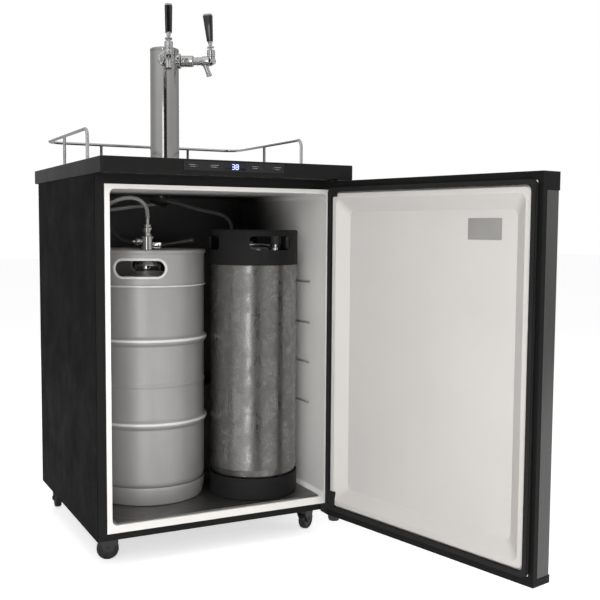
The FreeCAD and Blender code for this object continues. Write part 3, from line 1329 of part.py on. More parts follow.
def coupler_base_z():
    """Height of the coupler's seat on the keg's neck."""
    return KEG_Z + KEG_NECK_HEIGHT


def coupler_body():
    """Keg coupler with its gas port, beer outlet and the ears of its lever."""
    profile = [(0, 0, 0), (COUPLER_BASE_RADIUS, 0, 0), (COUPLER_BASE_RADIUS, COUPLER_BASE_HEIGHT * 0.6, 0),
               (COUPLER_BODY_RADIUS + 4, COUPLER_BASE_HEIGHT, 0),
               (COUPLER_BODY_RADIUS, COUPLER_BASE_HEIGHT + 3, 0),
               (COUPLER_BODY_RADIUS, COUPLER_BODY_HEIGHT, 0), (COUPLER_NECK_RADIUS, COUPLER_BODY_HEIGHT, 0),
               (COUPLER_NECK_RADIUS, COUPLER_NECK_HEIGHT, 0), (COUPLER_BARB_RADIUS, COUPLER_NECK_HEIGHT, 0),
               (COUPLER_BARB_RADIUS, COUPLER_BARB_HEIGHT, 0), (0, COUPLER_BARB_HEIGHT, 0)]
    z = coupler_base_z()
    body = lathe(profile, KEG_X, KEG_Y, z)
    port_z = z + COUPLER_PORT_HEIGHT
    port = rod(COUPLER_PORT_RADIUS, V(KEG_X, KEG_Y, port_z), V(KEG_X - COUPLER_PORT_REACH, KEG_Y, port_z))
    ear_z = z + COUPLER_HANDLE_HEIGHT
    ears = []
    half = COUPLER_EAR_GAP / 2
    for y0 in (-half - COUPLER_EAR_THICK, half):
        ear = box(0, COUPLER_EAR_REACH + 6, y0, y0 + COUPLER_EAR_THICK, ear_z - 7, ear_z + 7)
        ears.append(ear)
    pin_x = COUPLER_EAR_REACH
    pin = rod(COUPLER_PIN_RADIUS, V(pin_x, -half - 1, ear_z), V(pin_x, half + 1, ear_z))
    yoke = Part.makeCompound([*ears, pin])
    yoke = turned(yoke, COUPLER_HANDLE_BEARING - 90)
    yoke.translate(V(KEG_X, KEG_Y, 0))
    return fused(body, port, *yoke.Solids)


def coupler_handle():
    """Black lever handle of the coupler."""
    z = coupler_base_z() + COUPLER_HANDLE_HEIGHT
    half = COUPLER_EAR_GAP / 2 - SEAT_GAP
    x = COUPLER_EAR_REACH
    hub = rod(COUPLER_HANDLE_RADIUS + 2, V(x, -half, z), V(x, half, z))
    start = V(x, 0, z)
    along = V(COUPLER_HANDLE_LENGTH, 0, COUPLER_HANDLE_RISE)
    bar = rod(COUPLER_HANDLE_RADIUS, start, start + along)
    knob = Part.makeSphere(COUPLER_HANDLE_RADIUS + 1.5, start + along)
    handle = fused(hub, bar, knob)
    bore = rod(COUPLER_PIN_RADIUS + COUPLER_PIN_GAP, V(x, -half - 1, z), V(x, half + 1, z))
    handle = handle.cut(bore)
    handle = turned(handle, COUPLER_HANDLE_BEARING - 90)
    handle.translate(V(KEG_X, KEG_Y, 0))
    return handle


# ------------------------------------------------------------------ short keg
def corny_tank():
    """Straight-sided steel tank with domed ends."""
    r = CORNY_RADIUS
    top = CORNY_SHOULDER + CORNY_DOME
    outer = [(0, CORNY_FOOT, 0), (r * 0.7, CORNY_FOOT, 0),
             (r, CORNY_FOOT + CORNY_FOOT_RISE, CORNY_FOOT_ROUND), (r, CORNY_SHOULDER, CORNY_SHOULDER_ROUND),
             (r * 0.6, top, CORNY_DOME_ROUND), (0, top, 0)]
    wall = KEG_WALL
    floor = CORNY_FOOT + wall
    roof = top - wall * 2
    inner = [(0, floor, 0), (r * 0.66, floor, 0), (r - wall, CORNY_FOOT + CORNY_BORE_RISE, 0),
             (r - wall, CORNY_SHOULDER - CORNY_DOME_ROUND, 0), (r * 0.55, roof, 0), (0, roof, 0)]
    return lathe(outer, CORNY_X, CORNY_Y, CORNY_Z).cut(lathe(inner, CORNY_X, CORNY_Y, CORNY_Z))


def window_cut(width, bearing):
    """Pair of opposite window cuts through the top boot."""
    z1 = CORNY_Z + CORNY_HEIGHT - WINDOW_BELOW_TOP
    half = width / 2
    reach = 2 * CORNY_BOOT_RADIUS
    window = rounded(CORNY_X - half, CORNY_X + half, z1 - WINDOW_HEIGHT, z1, WINDOW_CORNER)
    cut = prism(window, "xz", CORNY_Y - reach, CORNY_Y + reach)
    return turned(cut, bearing, CORNY_X, CORNY_Y)


def corny_top_boot():
    """Rubber handle boot with its four windows."""
    r = CORNY_BOOT_RADIUS
    inner = CORNY_RADIUS + BOOT_GAP
    low = CORNY_SHOULDER - 14
    wall = r - BOOT_WALL
    rim = r - BOOT_RIM
    profile = [(inner, low, 0), (r, low, 0), (r, CORNY_HEIGHT, 5), (rim, CORNY_HEIGHT, 0),
               (rim, CORNY_HEIGHT - 8, 0), (wall, CORNY_HEIGHT - 12, 0), (wall, CORNY_SHOULDER + 6, 0),
               (inner, CORNY_SHOULDER - 6, 0)]
    boot = lathe(profile, CORNY_X, CORNY_Y, CORNY_Z)
    cut = boot.cut(window_cut(WINDOW_FRONT, 0)).cut(window_cut(WINDOW_SIDE, 90))
    return cut.cut(Part.makeCylinder(inner, CORNY_SHOULDER, V(CORNY_X, CORNY_Y, CORNY_Z)))


def corny_bottom_boot():
    """Rubber foot boot."""
    r = CORNY_BOOT_RADIUS
    inner = CORNY_RADIUS + BOOT_GAP
    profile = [(BOOT_FOOT_BORE, 0, 0), (r, 0, 3), (r, CORNY_BOTTOM_BOOT, 0), (inner, CORNY_BOTTOM_BOOT, 0),
               (inner, CORNY_FOOT + BOOT_HEEL, 0), (CORNY_RADIUS * 0.72, CORNY_FOOT - SEAT_GAP, 0),
               (BOOT_FOOT_BORE, CORNY_FOOT - SEAT_GAP, 0)]
    return lathe(profile, CORNY_X, CORNY_Y, CORNY_Z)


def corny_fittings():
    """Lid with its bail, two posts and their quick disconnects."""
    z = CORNY_Z + CORNY_SHOULDER + CORNY_DOME
    plate = [(0, 0, 0), (LID_RADIUS, 0, 0), (LID_RADIUS, LID_THICK, 3), (0, LID_THICK, 0)]
    lid = lathe(plate, CORNY_X, CORNY_Y, z)
    half = LID_RADIUS + 8
    bail = box(CORNY_X - half, CORNY_X + half, CORNY_Y - LID_BAIL / 2, CORNY_Y + LID_BAIL / 2,
               z + LID_THICK - 1, z + LID_THICK + LID_BAIL)
    relief = Part.makeCylinder(6, 14, V(CORNY_X, CORNY_Y + 18, z + LID_THICK - 1))
    pieces = [fused(lid, bail, relief)]
    for turn in (-45, 135):
        reach = POST_SPACING / 2
        x = CORNY_X + reach * math.sin(math.radians(turn))
        y = CORNY_Y + reach * math.cos(math.radians(turn))
        top = POST_HEIGHT + DISCONNECT_HEIGHT
        post = [(0, 0, 0), (POST_RADIUS, 0, 0), (POST_RADIUS, POST_HEIGHT, 0),
                (DISCONNECT_RADIUS, POST_HEIGHT, 0), (DISCONNECT_RADIUS, top, 4), (0, top, 0)]
        pieces.append(lathe(post, x, y, z))
    return Part.makeCompound(pieces)


def gas_bulkhead():
    """Gas fitting through the back of the cabinet."""
    y0 = CAVITY_BACK - GAS_PORT_REACH
    y1 = BACK_Y + GAS_PORT_REACH
    body = rod(GAS_PORT_RADIUS, V(GAS_PORT_X, y0, GAS_PORT_Z), V(GAS_PORT_X, y1, GAS_PORT_Z))
    nuts = [rod(GAS_PORT_RADIUS * 1.5, V(GAS_PORT_X, y, GAS_PORT_Z), V(GAS_PORT_X, y + 5, GAS_PORT_Z))
            for y in (CAVITY_BACK - 5 - SEAT_GAP, BACK_Y + SEAT_GAP)]
    return fused(body, *nuts)


# ------------------------------------------------------------------ the whole product
def all_parts():
    """Every sub-part by name."""
    parts = {
        "counter_top": counter_top(),
        "control_panel": control_panel(),
        "guard_rail": guard_rail(),
        "drip_tray": drip_tray(),
        "drip_grille": drip_grille(),
        "tower_column": tower_column(),
        "tower_cap": tower_cap(),
        "tower_flange": tower_flange(),
        "faucet_shanks": faucet_shanks(),
        "bonnet_nuts": bonnet_nuts(),
        "side_panel_left": side_panel(-1),
        "side_panel_right": side_panel(1),
        "back_panel": back_panel().cut(gas_hole(SEAT_GAP)),
        "base_pan": base_pan(),
        "front_frame": front_frame(),
        "liner": liner(),
        "foam_insulation": foam_insulation(),
        "floor_plate": floor_plate(),
        "compressor": compressor(),
        "rear_cover": rear_cover(),
        "caster_plates": caster_plates(),
        "hinge_bracket_top": hinge_bracket_top(),
        "hinge_bracket_bottom": hinge_bracket_bottom(),
        "keg_shell": keg_shell(),
        "keg_chimes": Part.makeCompound([keg_top_chime(), keg_bottom_chime()]),
        "coupler_body": coupler_body(),
        "coupler_handle": coupler_handle(),
        "corny_tank": corny_tank(),
        "corny_top_boot": corny_top_boot(),
        "corny_bottom_boot": corny_bottom_boot(),
        "corny_fittings": corny_fittings(),
        "gas_bulkhead": gas_bulkhead(),
        "beer_line": hose(BEER_ROUTE, BEER_HOSE_RADIUS, "beer_line"),
        "gas_line": hose(GAS_ROUTE, GAS_HOSE_RADIUS, "gas_line"),
        "tower_hose": hose(TOWER_ROUTE, TOWER_HOSE_RADIUS, "tower_hose"),
        "door_skin": door_skin(),
        "door_frame": door_frame(),
        "door_liner": door_liner(),
        "door_foam": door_foam(),
        "door_gasket": door_gasket(),
    }
    for letter, x in zip("abcd", BUTTON_X):
        parts[f"button_{letter}"] = button(x)
    for side in FAUCET_BEARINGS:
        parts[f"faucet_{side}"] = on_tower(faucet(), side)
        parts[f"lever_{side}"] = on_tower(lever(), side)
        parts[f"tap_handle_{side}"] = on_tower(tap_handle(), side)
    for corner in CASTER_PLACES:
        braked = corner in ("fl", "fr")
        parts[f"caster_fork_{corner}"] = on_caster(caster_fork(braked), corner)
        parts[f"caster_wheel_{corner}"] = on_caster(caster_wheel(), corner)
        if braked:
            parts[f"caster_brake_{corner}"] = on_caster(caster_brake(), corner)
    return parts


def main():
    """Write one STEP file for each sub-part."""
    os.makedirs("parts", exist_ok=True)
    for name, shape in all_parts().items():
        shape.exportStep(f"parts/{name}.step")


main()
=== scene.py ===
"""Looks of a draft beer refrigerator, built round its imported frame."""

import logging
import math
from collections.abc import Iterable, Sequence
from dataclasses import dataclass
from enum import Enum

import bmesh
import bpy
from mathutils import Matrix, Vector


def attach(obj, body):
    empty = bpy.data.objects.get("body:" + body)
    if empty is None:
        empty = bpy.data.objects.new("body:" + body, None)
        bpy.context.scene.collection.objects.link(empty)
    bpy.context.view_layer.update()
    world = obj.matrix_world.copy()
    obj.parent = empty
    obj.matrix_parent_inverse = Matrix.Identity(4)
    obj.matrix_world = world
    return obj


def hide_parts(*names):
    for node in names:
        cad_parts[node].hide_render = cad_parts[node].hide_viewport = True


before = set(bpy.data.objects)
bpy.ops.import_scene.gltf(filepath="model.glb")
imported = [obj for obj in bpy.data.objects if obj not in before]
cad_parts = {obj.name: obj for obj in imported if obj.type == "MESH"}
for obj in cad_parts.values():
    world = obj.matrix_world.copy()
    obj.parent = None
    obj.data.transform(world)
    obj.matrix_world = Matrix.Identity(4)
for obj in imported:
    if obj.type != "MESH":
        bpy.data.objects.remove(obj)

Mesh = bmesh.types.BMesh
Socket = bpy.types.NodeSocket
Rgb = tuple[float, float, float]
Point = tuple[float, float, float]
Pair = tuple[float, float]
Profile = list[tuple[float, ...]]

LOG = logging.getLogger("draft_refrigerator")
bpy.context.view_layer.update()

# Counter top, column axis, faucet axis and lever pivot, in metres.
TOP_Z = 0.9024
TOWER_Y = 0.471
BARREL_Z = 1.1885
PIVOT_Z = 1.211

# Hinge axis in metres and the door's angle in degrees.
HINGE = Vector((0.2866, 0.0076, 0.0))
DOOR_ANGLE = 102.6

# Distance in metres within which points are merged.
MERGE = 1e-6


class Body(Enum):
    """Bodies that carry the pieces."""

    CABINET = "cabinet"
    DOOR = "door"
    COUPLER = "coupler_lever"


class Side(Enum):
    """The two faucets, each with its bearing in degrees."""

    LEFT = -14.0
    RIGHT = 59.8


class Axis(Enum):
    """Directions along which edges run."""

    Y = (0.0, 1.0, 0.0)
    Z = (0.0, 0.0, 1.0)


# ---------------------------------------------------------------- node trees
class Wiring:
    """Adds and joins nodes in one tree."""

    def __init__(self, tree: bpy.types.NodeTree) -> None:
        """Keeps the node tree to work in."""
        self.tree = tree

    def add(self, kind: str, /, values: dict | None = None, **settings: object) -> bpy.types.Node:
        """Adds a node.

        Args:
            kind: Node type without its Shader prefix.
            values: Socket defaults or outputs to link, by socket name or number.
            **settings: Attributes of the node itself.

        Returns:
            The new node.
        """
        prefix = "" if kind.startswith("NodeGroup") else "ShaderNode"
        node = self.tree.nodes.new(prefix + kind)
        for name, value in settings.items():
            setattr(node, name, value)
        for key, value in (values or {}).items():
            self.feed(node.inputs[key], value)
        return node

    def feed(self, socket: Socket, value: object) -> None:
        """Links an output into a socket, or sets the socket's own value.

        Args:
            socket: Input to feed.
            value: An output socket or a plain value.
        """
        if isinstance(value, Socket):
            self.tree.links.new(value, socket)
        else:
            socket.default_value = value

    def spot(self) -> Socket:
        """Adds a Texture Coordinate node and returns its Object output."""
        return self.add("TexCoord").outputs["Object"]

    def math(self, operation: str, a: object, b: object = 0.0, c: object = 0.0,
             clamp: bool = False) -> Socket:
        """Adds a Math node and returns its output."""
        return self.add("Math", {0: a, 1: b, 2: c}, operation=operation, use_clamp=clamp).outputs[0]

    def span(self, value: object, low: float, high: float, to_low: object = 0.0, to_high: object = 1.0,
             kind: str = "LINEAR") -> Socket:
        """Adds a clamped Map Range of the named ramp and returns its output."""
        values = {0: value, 1: low, 2: high, 3: to_low, 4: to_high}
        return self.add("MapRange", values, interpolation_type=kind).outputs[0]

    def mix(self, share: object, a: object, b: object) -> Socket:
        """Adds a mix of two colours by the second one's share and returns its output."""
        return self.add("Mix", {0: share, 6: rgba(a), 7: rgba(b)}, data_type="RGBA").outputs[2]


def rgba(color: object) -> object:
    """Adds an alpha of 1 to a plain colour, and leaves a socket as it is."""
    return (*color, 1.0) if isinstance(color, tuple) and len(color) == 3 else color


def group(name: str, control: str, default: object, results: Iterable[str]) -> tuple[Wiring, Socket, dict]:
    """Makes a shader node group with one input and named outputs.

    Args:
        name: Name of the group.
        control: Name of its input.
        default: The input's default, which also gives its type.
        results: Names of the float outputs.

    Returns:
        The wiring to fill the group with, the input and the outputs to feed.
    """
    tree = bpy.data.node_groups.new(name, "ShaderNodeTree")
    kind = "NodeSocketVector" if isinstance(default, tuple) else "NodeSocketFloat"
    tree.interface.new_socket(control, in_out="INPUT", socket_type=kind).default_value = default
    for label in results:
        tree.interface.new_socket(label, in_out="OUTPUT", socket_type="NodeSocketFloat")
    w = Wiring(tree)
    return w, w.add("NodeGroupInput").outputs[control], w.add("NodeGroupOutput").inputs


class Effects:
    """Groups that several finishes share, each built once."""

    def __init__(self) -> None:
        """Builds every group."""
        self.grain = self.build_grain()
        self.stain = self.build_stain()
        self.peel = self.build_peel()
        self.dust = self.build_dust()

    @staticmethod
    def build_grain() -> bpy.types.NodeTree:
        """Brush marks: noise drawn out along one direction.

        Returns:
            The group.
        """
        w, stretch, end = group("BrushGrain", "Stretch", (1000.0, 1000.0, 12.0), ("Lines", "Bands"))
        fine = w.add("VectorMath", {0: w.spot(), 1: stretch}, operation="MULTIPLY").outputs[0]
        noise = w.add("TexNoise", {"Vector": fine, "Scale": 1.0, "Detail": 4.0, "Roughness": 0.65})
        broad = w.add("VectorMath", {0: fine, "Scale": 0.12}, operation="SCALE").outputs[0]
        bands = w.add("TexNoise", {"Vector": broad, "Scale": 1.0, "Detail": 2.0, "Roughness": 0.5})
        w.feed(end["Lines"], w.span(noise.outputs[0], 0.3, 0.7))
        w.feed(end["Bands"], w.span(bands.outputs[0], 0.3, 0.7))
        return w.tree

    @staticmethod
    def build_stain() -> bpy.types.NodeTree:
        """Water marks and scuffs: warped noise cut to patches.

        Returns:
            The group.
        """
        w, scale, end = group("Stains", "Scale", 20.0, ("Patches", "Specks"))
        spot = w.spot()
        noise = w.add("TexNoise", {"Vector": spot, "Scale": scale, "Detail": 6.0, "Roughness": 0.62,
                                   "Distortion": 0.8})
        w.feed(end["Patches"], w.span(noise.outputs[0], 0.38, 0.62, kind="SMOOTHSTEP"))
        small = w.math("MULTIPLY", scale, 14.0)
        specks = w.add("TexNoise", {"Vector": spot, "Scale": small, "Detail": 3.0, "Roughness": 0.7})
        w.feed(end["Specks"], w.span(specks.outputs[0], 0.52, 0.66))
        return w.tree

    @staticmethod
    def build_peel() -> bpy.types.NodeTree:
        """Fine skin of powder coat and of moulded plastic.

        Returns:
            The group.
        """
        w, scale, end = group("FineSkin", "Scale", 900.0, ("Height", "Shade"))
        spot = w.spot()
        cells = w.add("TexVoronoi", {"Vector": spot, "Scale": scale}, feature="SMOOTH_F1")
        slow = w.math("MULTIPLY", scale, 0.011)
        shade = w.add("TexNoise", {"Vector": spot, "Scale": slow, "Detail": 4.0, "Roughness": 0.6})
        w.feed(end["Height"], cells.outputs[0])
        w.feed(end["Shade"], w.span(shade.outputs[0], 0.3, 0.7))
        return w.tree

    @staticmethod
    def build_dust() -> bpy.types.NodeTree:
        """Settled dust on faces that look up.

        Returns:
            The group.
        """
        w, amount, end = group("SettledDust", "Amount", 0.3, ("Mask",))
        source = w.add("TexCoord")
        up = w.add("SeparateXYZ", {0: source.outputs["Normal"]}).outputs[2]
        noise = w.add("TexNoise", {"Vector": source.outputs["Object"], "Scale": 45.0, "Detail": 6.0,
                                   "Roughness": 0.7})
        top = w.math("MULTIPLY", w.span(up, 0.6, 1.0), amount)
        w.feed(end["Mask"], w.math("MULTIPLY", top, w.span(noise.outputs[0], 0.4, 0.75)))
        return w.tree


EFFECTS = Effects()
DUST_TONE = (0.42, 0.41, 0.39)
BLACK = (0.0, 0.0, 0.0)
WHITE = (1.0, 1.0, 1.0)


# ---------------------------------------------------------------- finishes
@dataclass(frozen=True)
class Finish:
    """A surface finish that makes its own material once."""

    name: str
    color: Rgb
    roughness: float

    def material(self) -> bpy.types.Material:
        """The finish's material, built at its first use.

        Returns:
            The material, the same one at every call.
        """
        found = bpy.data.materials.get(self.name)
        if found:
            return found
        made = bpy.data.materials.new(self.name)
        made.use_nodes = True
        made.diffuse_color = (*self.color, 1.0)
        w = Wiring(made.node_tree)
        shader = made.node_tree.nodes["Principled BSDF"]
        shader.inputs["Roughness"].default_value = self.roughness
        self.dress(w, shader)
        return made

    def dress(self, w: Wiring, shader: bpy.types.Node) -> None:
        """Fills the material; each kind of finish does it in its own way.

        Args:
            w: Wiring of the material.
            shader: Its Principled BSDF.
        """
        raise NotImplementedError

    def tone(self, share: float) -> Rgb:
        """The finish's colour times a share, held at 1."""
        return tuple(min(1.0, part * share) for part in self.color)

    @staticmethod
    def bump(w: Wiring, shader: bpy.types.Node, height: Socket, strength: float, distance: float) -> None:
        """Feeds a height, with its strength and its depth in metres, to the shader as a bump."""
        node = w.add("Bump", {"Height": height, "Strength": strength, "Distance": distance})
        w.feed(shader.inputs["Normal"], node.outputs[0])


@dataclass(frozen=True)
class Steel(Finish):
    """Bare metal with brush marks, stains and specks."""

    stretch: Point = (1000.0, 1000.0, 12.0)
    grain: float = 0.12
    stain: float = 0.0
    stain_scale: float = 18.0
    specks: float = 0.0
    relief: float = 0.15
    metal: float = 1.0
    dull: float = 0.55
    pale: float = 1.45
    depth: float = 0.00002

    def dress(self, w: Wiring, shader: bpy.types.Node) -> None:
        """Metal whose colour and roughness follow its brush marks and stains.

        Args:
            w: Wiring of the material.
            shader: Its Principled BSDF.
        """
        shader.inputs["Metallic"].default_value = self.metal
        marks = w.add("Group", {"Stretch": self.stretch}, node_tree=EFFECTS.grain).outputs
        patches = w.add("Group", {"Scale": self.stain_scale}, node_tree=EFFECTS.stain).outputs
        dark = self.tone(1 - self.grain)
        lines = w.mix(marks["Lines"], dark, self.tone(1 + self.grain))
        banded = w.mix(w.math("MULTIPLY", marks["Bands"], self.grain), lines, dark)
        shade = w.math("MULTIPLY", patches["Patches"], self.stain)
        stained = w.mix(shade, banded, self.tone(self.dull))
        speck = w.math("MULTIPLY", patches["Specks"], self.specks)
        w.feed(shader.inputs["Base Color"], w.mix(speck, stained, self.tone(self.pale)))
        rough = w.math("MULTIPLY_ADD", marks["Lines"], self.roughness * 0.35, self.roughness * 0.8)
        w.feed(shader.inputs["Roughness"], w.math("MULTIPLY_ADD", shade, 0.22, rough, clamp=True))
        self.bump(w, shader, marks["Lines"], self.relief, self.depth)


@dataclass(frozen=True)
class Moulded(Finish):
    """Plastic, rubber or paint with a fine skin."""

    skin: float = 900.0
    depth: float = 0.00004
    relief: float = 0.3
    mottle: float = 0.12
    dust: float = 0.0
    coat: float = 0.0
    level: float = 0.5

    def dress(self, w: Wiring, shader: bpy.types.Node) -> None:
        """Colour that drifts a little, with a fine bump and a trace of dust.

        Args:
            w: Wiring of the material.
            shader: Its Principled BSDF.
        """
        shader.inputs["Coat Weight"].default_value = self.coat
        shader.inputs["Coat Roughness"].default_value = 0.12
        shader.inputs["Specular IOR Level"].default_value = self.level
        skin = w.add("Group", {"Scale": self.skin}, node_tree=EFFECTS.peel).outputs
        base = w.mix(skin["Shade"], self.tone(1 - self.mottle), self.tone(1 + self.mottle))
        if self.dust > 0:
            settled = w.add("Group", {"Amount": self.dust}, node_tree=EFFECTS.dust)
            base = w.mix(settled.outputs["Mask"], base, DUST_TONE)
        w.feed(shader.inputs["Base Color"], base)
        spread = self.roughness * 0.25
        rough = w.math("MULTIPLY_ADD", skin["Shade"], spread, self.roughness - spread / 2, clamp=True)
        w.feed(shader.inputs["Roughness"], rough)
        self.bump(w, shader, skin["Height"], self.relief, self.depth)


@dataclass(frozen=True)
class ShadedLiner(Moulded):
    """White liner plastic with painted shade that darkens it towards the rear wall."""

    # front and rear: depths in y where the painted shade starts and where it is full; dark: its tone;
    # near_wall: x below which it is a quarter as strong.
    front: float = 0.19
    rear: float = 0.5
    dark: Rgb = (0.018, 0.018, 0.018)
    near_wall: float = -0.258

    def dress(self, w: Wiring, shader: bpy.types.Node) -> None:
        """Moulded plastic whose white gives way to painted shade with depth, a quarter as strong left of
        near_wall.

        Args:
            w: Wiring of the material.
            shader: Its Principled BSDF.
        """
        super().dress(w, shader)
        white = shader.inputs["Base Color"].links[0].from_socket
        spot = w.add("SeparateXYZ", {0: w.spot()})
        drift = w.add("TexNoise", {"Scale": 9.0, "Detail": 3.0}).outputs[0]
        depth = w.math("MULTIPLY_ADD", drift, 0.03, spot.outputs[1])
        open_side = w.span(spot.outputs[0], self.near_wall, self.near_wall + 0.01, 0.25, 1.0)
        # Share of painted shade, deepening into the cavity.
        share = w.math("MULTIPLY", w.span(depth, self.front, self.rear, kind="SMOOTHSTEP"), open_side)
        w.feed(shader.inputs["Base Color"], w.mix(share, white, self.dark))


@dataclass(frozen=True)
class Vinyl(Finish):
    """Flexible tube, clear or dark."""

    clear: float = 0.6

    def dress(self, w: Wiring, shader: bpy.types.Node) -> None:
        """Half-clear plastic with a faint shade and skin.

        Args:
            w: Wiring of the material.
            shader: Its Principled BSDF.
        """
        shader.inputs["IOR"].default_value = 1.4
        shader.inputs["Transmission Weight"].default_value = self.clear
        skin = w.add("Group", {"Scale": 260.0}, node_tree=EFFECTS.peel).outputs
        w.feed(shader.inputs["Base Color"], w.mix(skin["Shade"], self.tone(0.8), self.color))
        self.bump(w, shader, skin["Height"], 0.15, 0.0001)


@dataclass(frozen=True)
class Lit(Finish):
    """Self-lit digits of the display."""

    strength: float = 2.0

    def dress(self, w: Wiring, shader: bpy.types.Node) -> None:
        """Glow with the slight unevenness of a diffuser.

        Args:
            w: Wiring of the material.
            shader: Its Principled BSDF.
        """
        noise = w.add("TexNoise", {"Scale": 700.0, "Detail": 2.0}).outputs[0]
        w.feed(shader.inputs["Emission Color"], w.mix(w.span(noise, 0.3, 0.7), self.tone(0.6), self.color))
        w.feed(shader.inputs["Base Color"], rgba(self.color))
        shader.inputs["Emission Strength"].default_value = self.strength


COUNTER_BLACK = Moulded("counter_black", (0.006, 0.006, 0.0058), 0.42, skin=700.0, dust=0.03, level=0.26)
PANEL_GLOSS = Moulded("panel_gloss", (0.008, 0.008, 0.008), 0.16, skin=120.0, relief=0.05)
SMOKED_WINDOW = Moulded("smoked_window", (0.006, 0.006, 0.012), 0.08, skin=90.0, relief=0.03)
TEXTURED_PAINT = Moulded("textured_black_paint", (0.002, 0.002, 0.0019), 0.55, skin=1100.0, depth=0.00008,
                         mottle=0.3, level=0.04)
PLAIN_PAINT = Moulded("plain_black_paint", (0.006, 0.006, 0.006), 0.45, skin=800.0, level=0.25)
FRAME_PLASTIC = Moulded("door_frame_plastic", (0.006, 0.0059, 0.0057), 0.38, skin=850.0, mottle=0.15,
                        level=0.15)
BUTTON_PLASTIC = Moulded("button_plastic", (0.02, 0.02, 0.02), 0.3, skin=500.0)
PANEL_MARK = Moulded("panel_mark", (0.2, 0.2, 0.2), 0.5, skin=400.0)
GRIP_GLOSS = Moulded("grip_gloss_black", (0.006, 0.006, 0.006), 0.14, skin=60.0, relief=0.04, coat=0.6)
GRIP_CAP = Moulded("grip_cap_grey", (0.25, 0.25, 0.245), 0.4, skin=400.0)
# Cavity liner: white plastic with painted shade darkening it towards the rear wall.
CAVITY_WHITE = ShadedLiner("cavity_liner", (0.7, 0.683, 0.66), 0.34, skin=420.0, relief=0.12, mottle=0.03)
DOOR_WHITE = Moulded("door_liner_white", (0.48, 0.465, 0.446), 0.34, skin=420.0, relief=0.12, mottle=0.025)
GASKET_BLACK = Moulded("gasket_vinyl", (0.009, 0.009, 0.0088), 0.5, skin=600.0, relief=0.2, mottle=0.15,
                       level=0.3)
BARE_LABEL = Moulded("bare_plate", (0.22, 0.213, 0.204), 0.42, skin=300.0, relief=0.05)
BLACK_RUBBER = Moulded("boot_rubber", (0.01, 0.01, 0.01), 0.6, skin=500.0, depth=0.0001, mottle=0.35,
                       dust=0.03, level=0.15)
WHEEL_NYLON = Moulded("wheel_nylon", (0.012, 0.012, 0.012), 0.28, skin=300.0, mottle=0.2)
CASTER_PAINT = Moulded("caster_black", (0.02, 0.02, 0.02), 0.34, skin=500.0, coat=0.3)
FITTING_PLASTIC = Moulded("fitting_plastic", (0.03, 0.03, 0.03), 0.4, skin=500.0)
FOAM = Moulded("rigid_foam", (0.62, 0.52, 0.3), 0.9, skin=160.0, depth=0.0006, relief=0.5, mottle=0.2)
TOWER_STEEL = Steel("tower_steel", (0.44, 0.435, 0.425), 0.13, stretch=(1500.0, 1500.0, 9.0), grain=0.05,
                    stain=0.08, stain_scale=9.0, relief=0.04)
SHEET_STEEL = Steel("door_sheet_steel", (0.18, 0.178, 0.175), 0.3, stretch=(1400.0, 1400.0, 8.0), grain=0.1,
                    relief=0.04)
TRAY_STEEL = Steel("tray_steel", (0.55, 0.55, 0.545), 0.26, stretch=(9.0, 1400.0, 1400.0), grain=0.1,
                   relief=0.04)
FLOOR_STEEL = Steel("floor_steel", (0.3, 0.298, 0.294), 0.45, stretch=(10.0, 900.0, 900.0), grain=0.14,
                    stain=0.3, stain_scale=14.0, relief=0.05)
KEG_STEEL = Steel("keg_satin_steel", (0.405, 0.397, 0.389), 0.42, metal=0.6, stretch=(260.0, 260.0, 14.0),
                  grain=0.04, stain=0.08, stain_scale=8.0, relief=0.05)
# Pale, half-metallic steel for the painted highlight on the keg's hole rims, weld ring and hoop crests.
HIGHLIGHT_STEEL = Steel("painted_highlight_steel", (0.68, 0.67, 0.66), 0.38, metal=0.35, stretch=(200.0, 200.0, 200.0),
                  grain=0.04, relief=0.02)
TANK_STEEL = Steel("tank_worn_steel", (0.33, 0.325, 0.318), 0.27, stretch=(420.0, 420.0, 16.0), grain=0.1,
                   stain=0.55, stain_scale=26.0, specks=0.4, relief=0.06)
CHROME = Steel("fitting_chrome", (0.62, 0.615, 0.61), 0.1, stretch=(60.0, 60.0, 60.0), grain=0.03,
               relief=0.02)
RAIL_CHROME = Steel("rail_chrome", (0.62, 0.615, 0.61), 0.14, stretch=(60.0, 60.0, 60.0), grain=0.05,
                    relief=0.03)
ZINC = Steel("zinc_plate", (0.5, 0.5, 0.49), 0.35, stretch=(80.0, 80.0, 80.0), grain=0.1, stain=0.15)
CLEAR_HOSE = Vinyl("clear_hose", (0.5, 0.5, 0.49), 0.15)
DARK_HOSE = Vinyl("dark_hose", (0.02, 0.02, 0.02), 0.4, clear=0.1)
DIGIT_GLOW = Lit("digit_glow", (0.42, 0.5, 1.0), 0.3, strength=1.6)


# ---------------------------------------------------------------- mesh work
def turned(angle: float, axis: str = "Z") -> Matrix:
    """Matrix that turns by an angle in degrees about an axis."""
    return Matrix.Rotation(math.radians(angle), 4, axis)


def shift(x: float, y: float, z: float) -> Matrix:
    """Matrix that moves by x, y and z."""
    return Matrix.Translation((x, y, z))


def facing(direction: Vector) -> Matrix:
    """Matrix that turns the vertical to a direction."""
    return direction.to_track_quat("Z", "Y").to_matrix().to_4x4()


def rounded(bm: Mesh, geom: list, offset: float, segments: int, affect: str = "EDGES") -> None:
    """Rounds edges or corners of a mesh by an offset in some steps."""
    bmesh.ops.bevel(bm, geom=geom, offset=offset, offset_type="OFFSET", segments=segments, profile=0.5,
                    affect=affect, material=-1, clamp_overlap=True)


def merged(bm: Mesh) -> Mesh:
    """Merges a mesh's doubles and turns its faces outwards.

    Args:
        bm: The mesh.

    Returns:
        The same mesh.
    """
    bmesh.ops.remove_doubles(bm, verts=bm.verts[:], dist=MERGE)
    bmesh.ops.recalc_face_normals(bm, faces=bm.faces[:])
    return bm


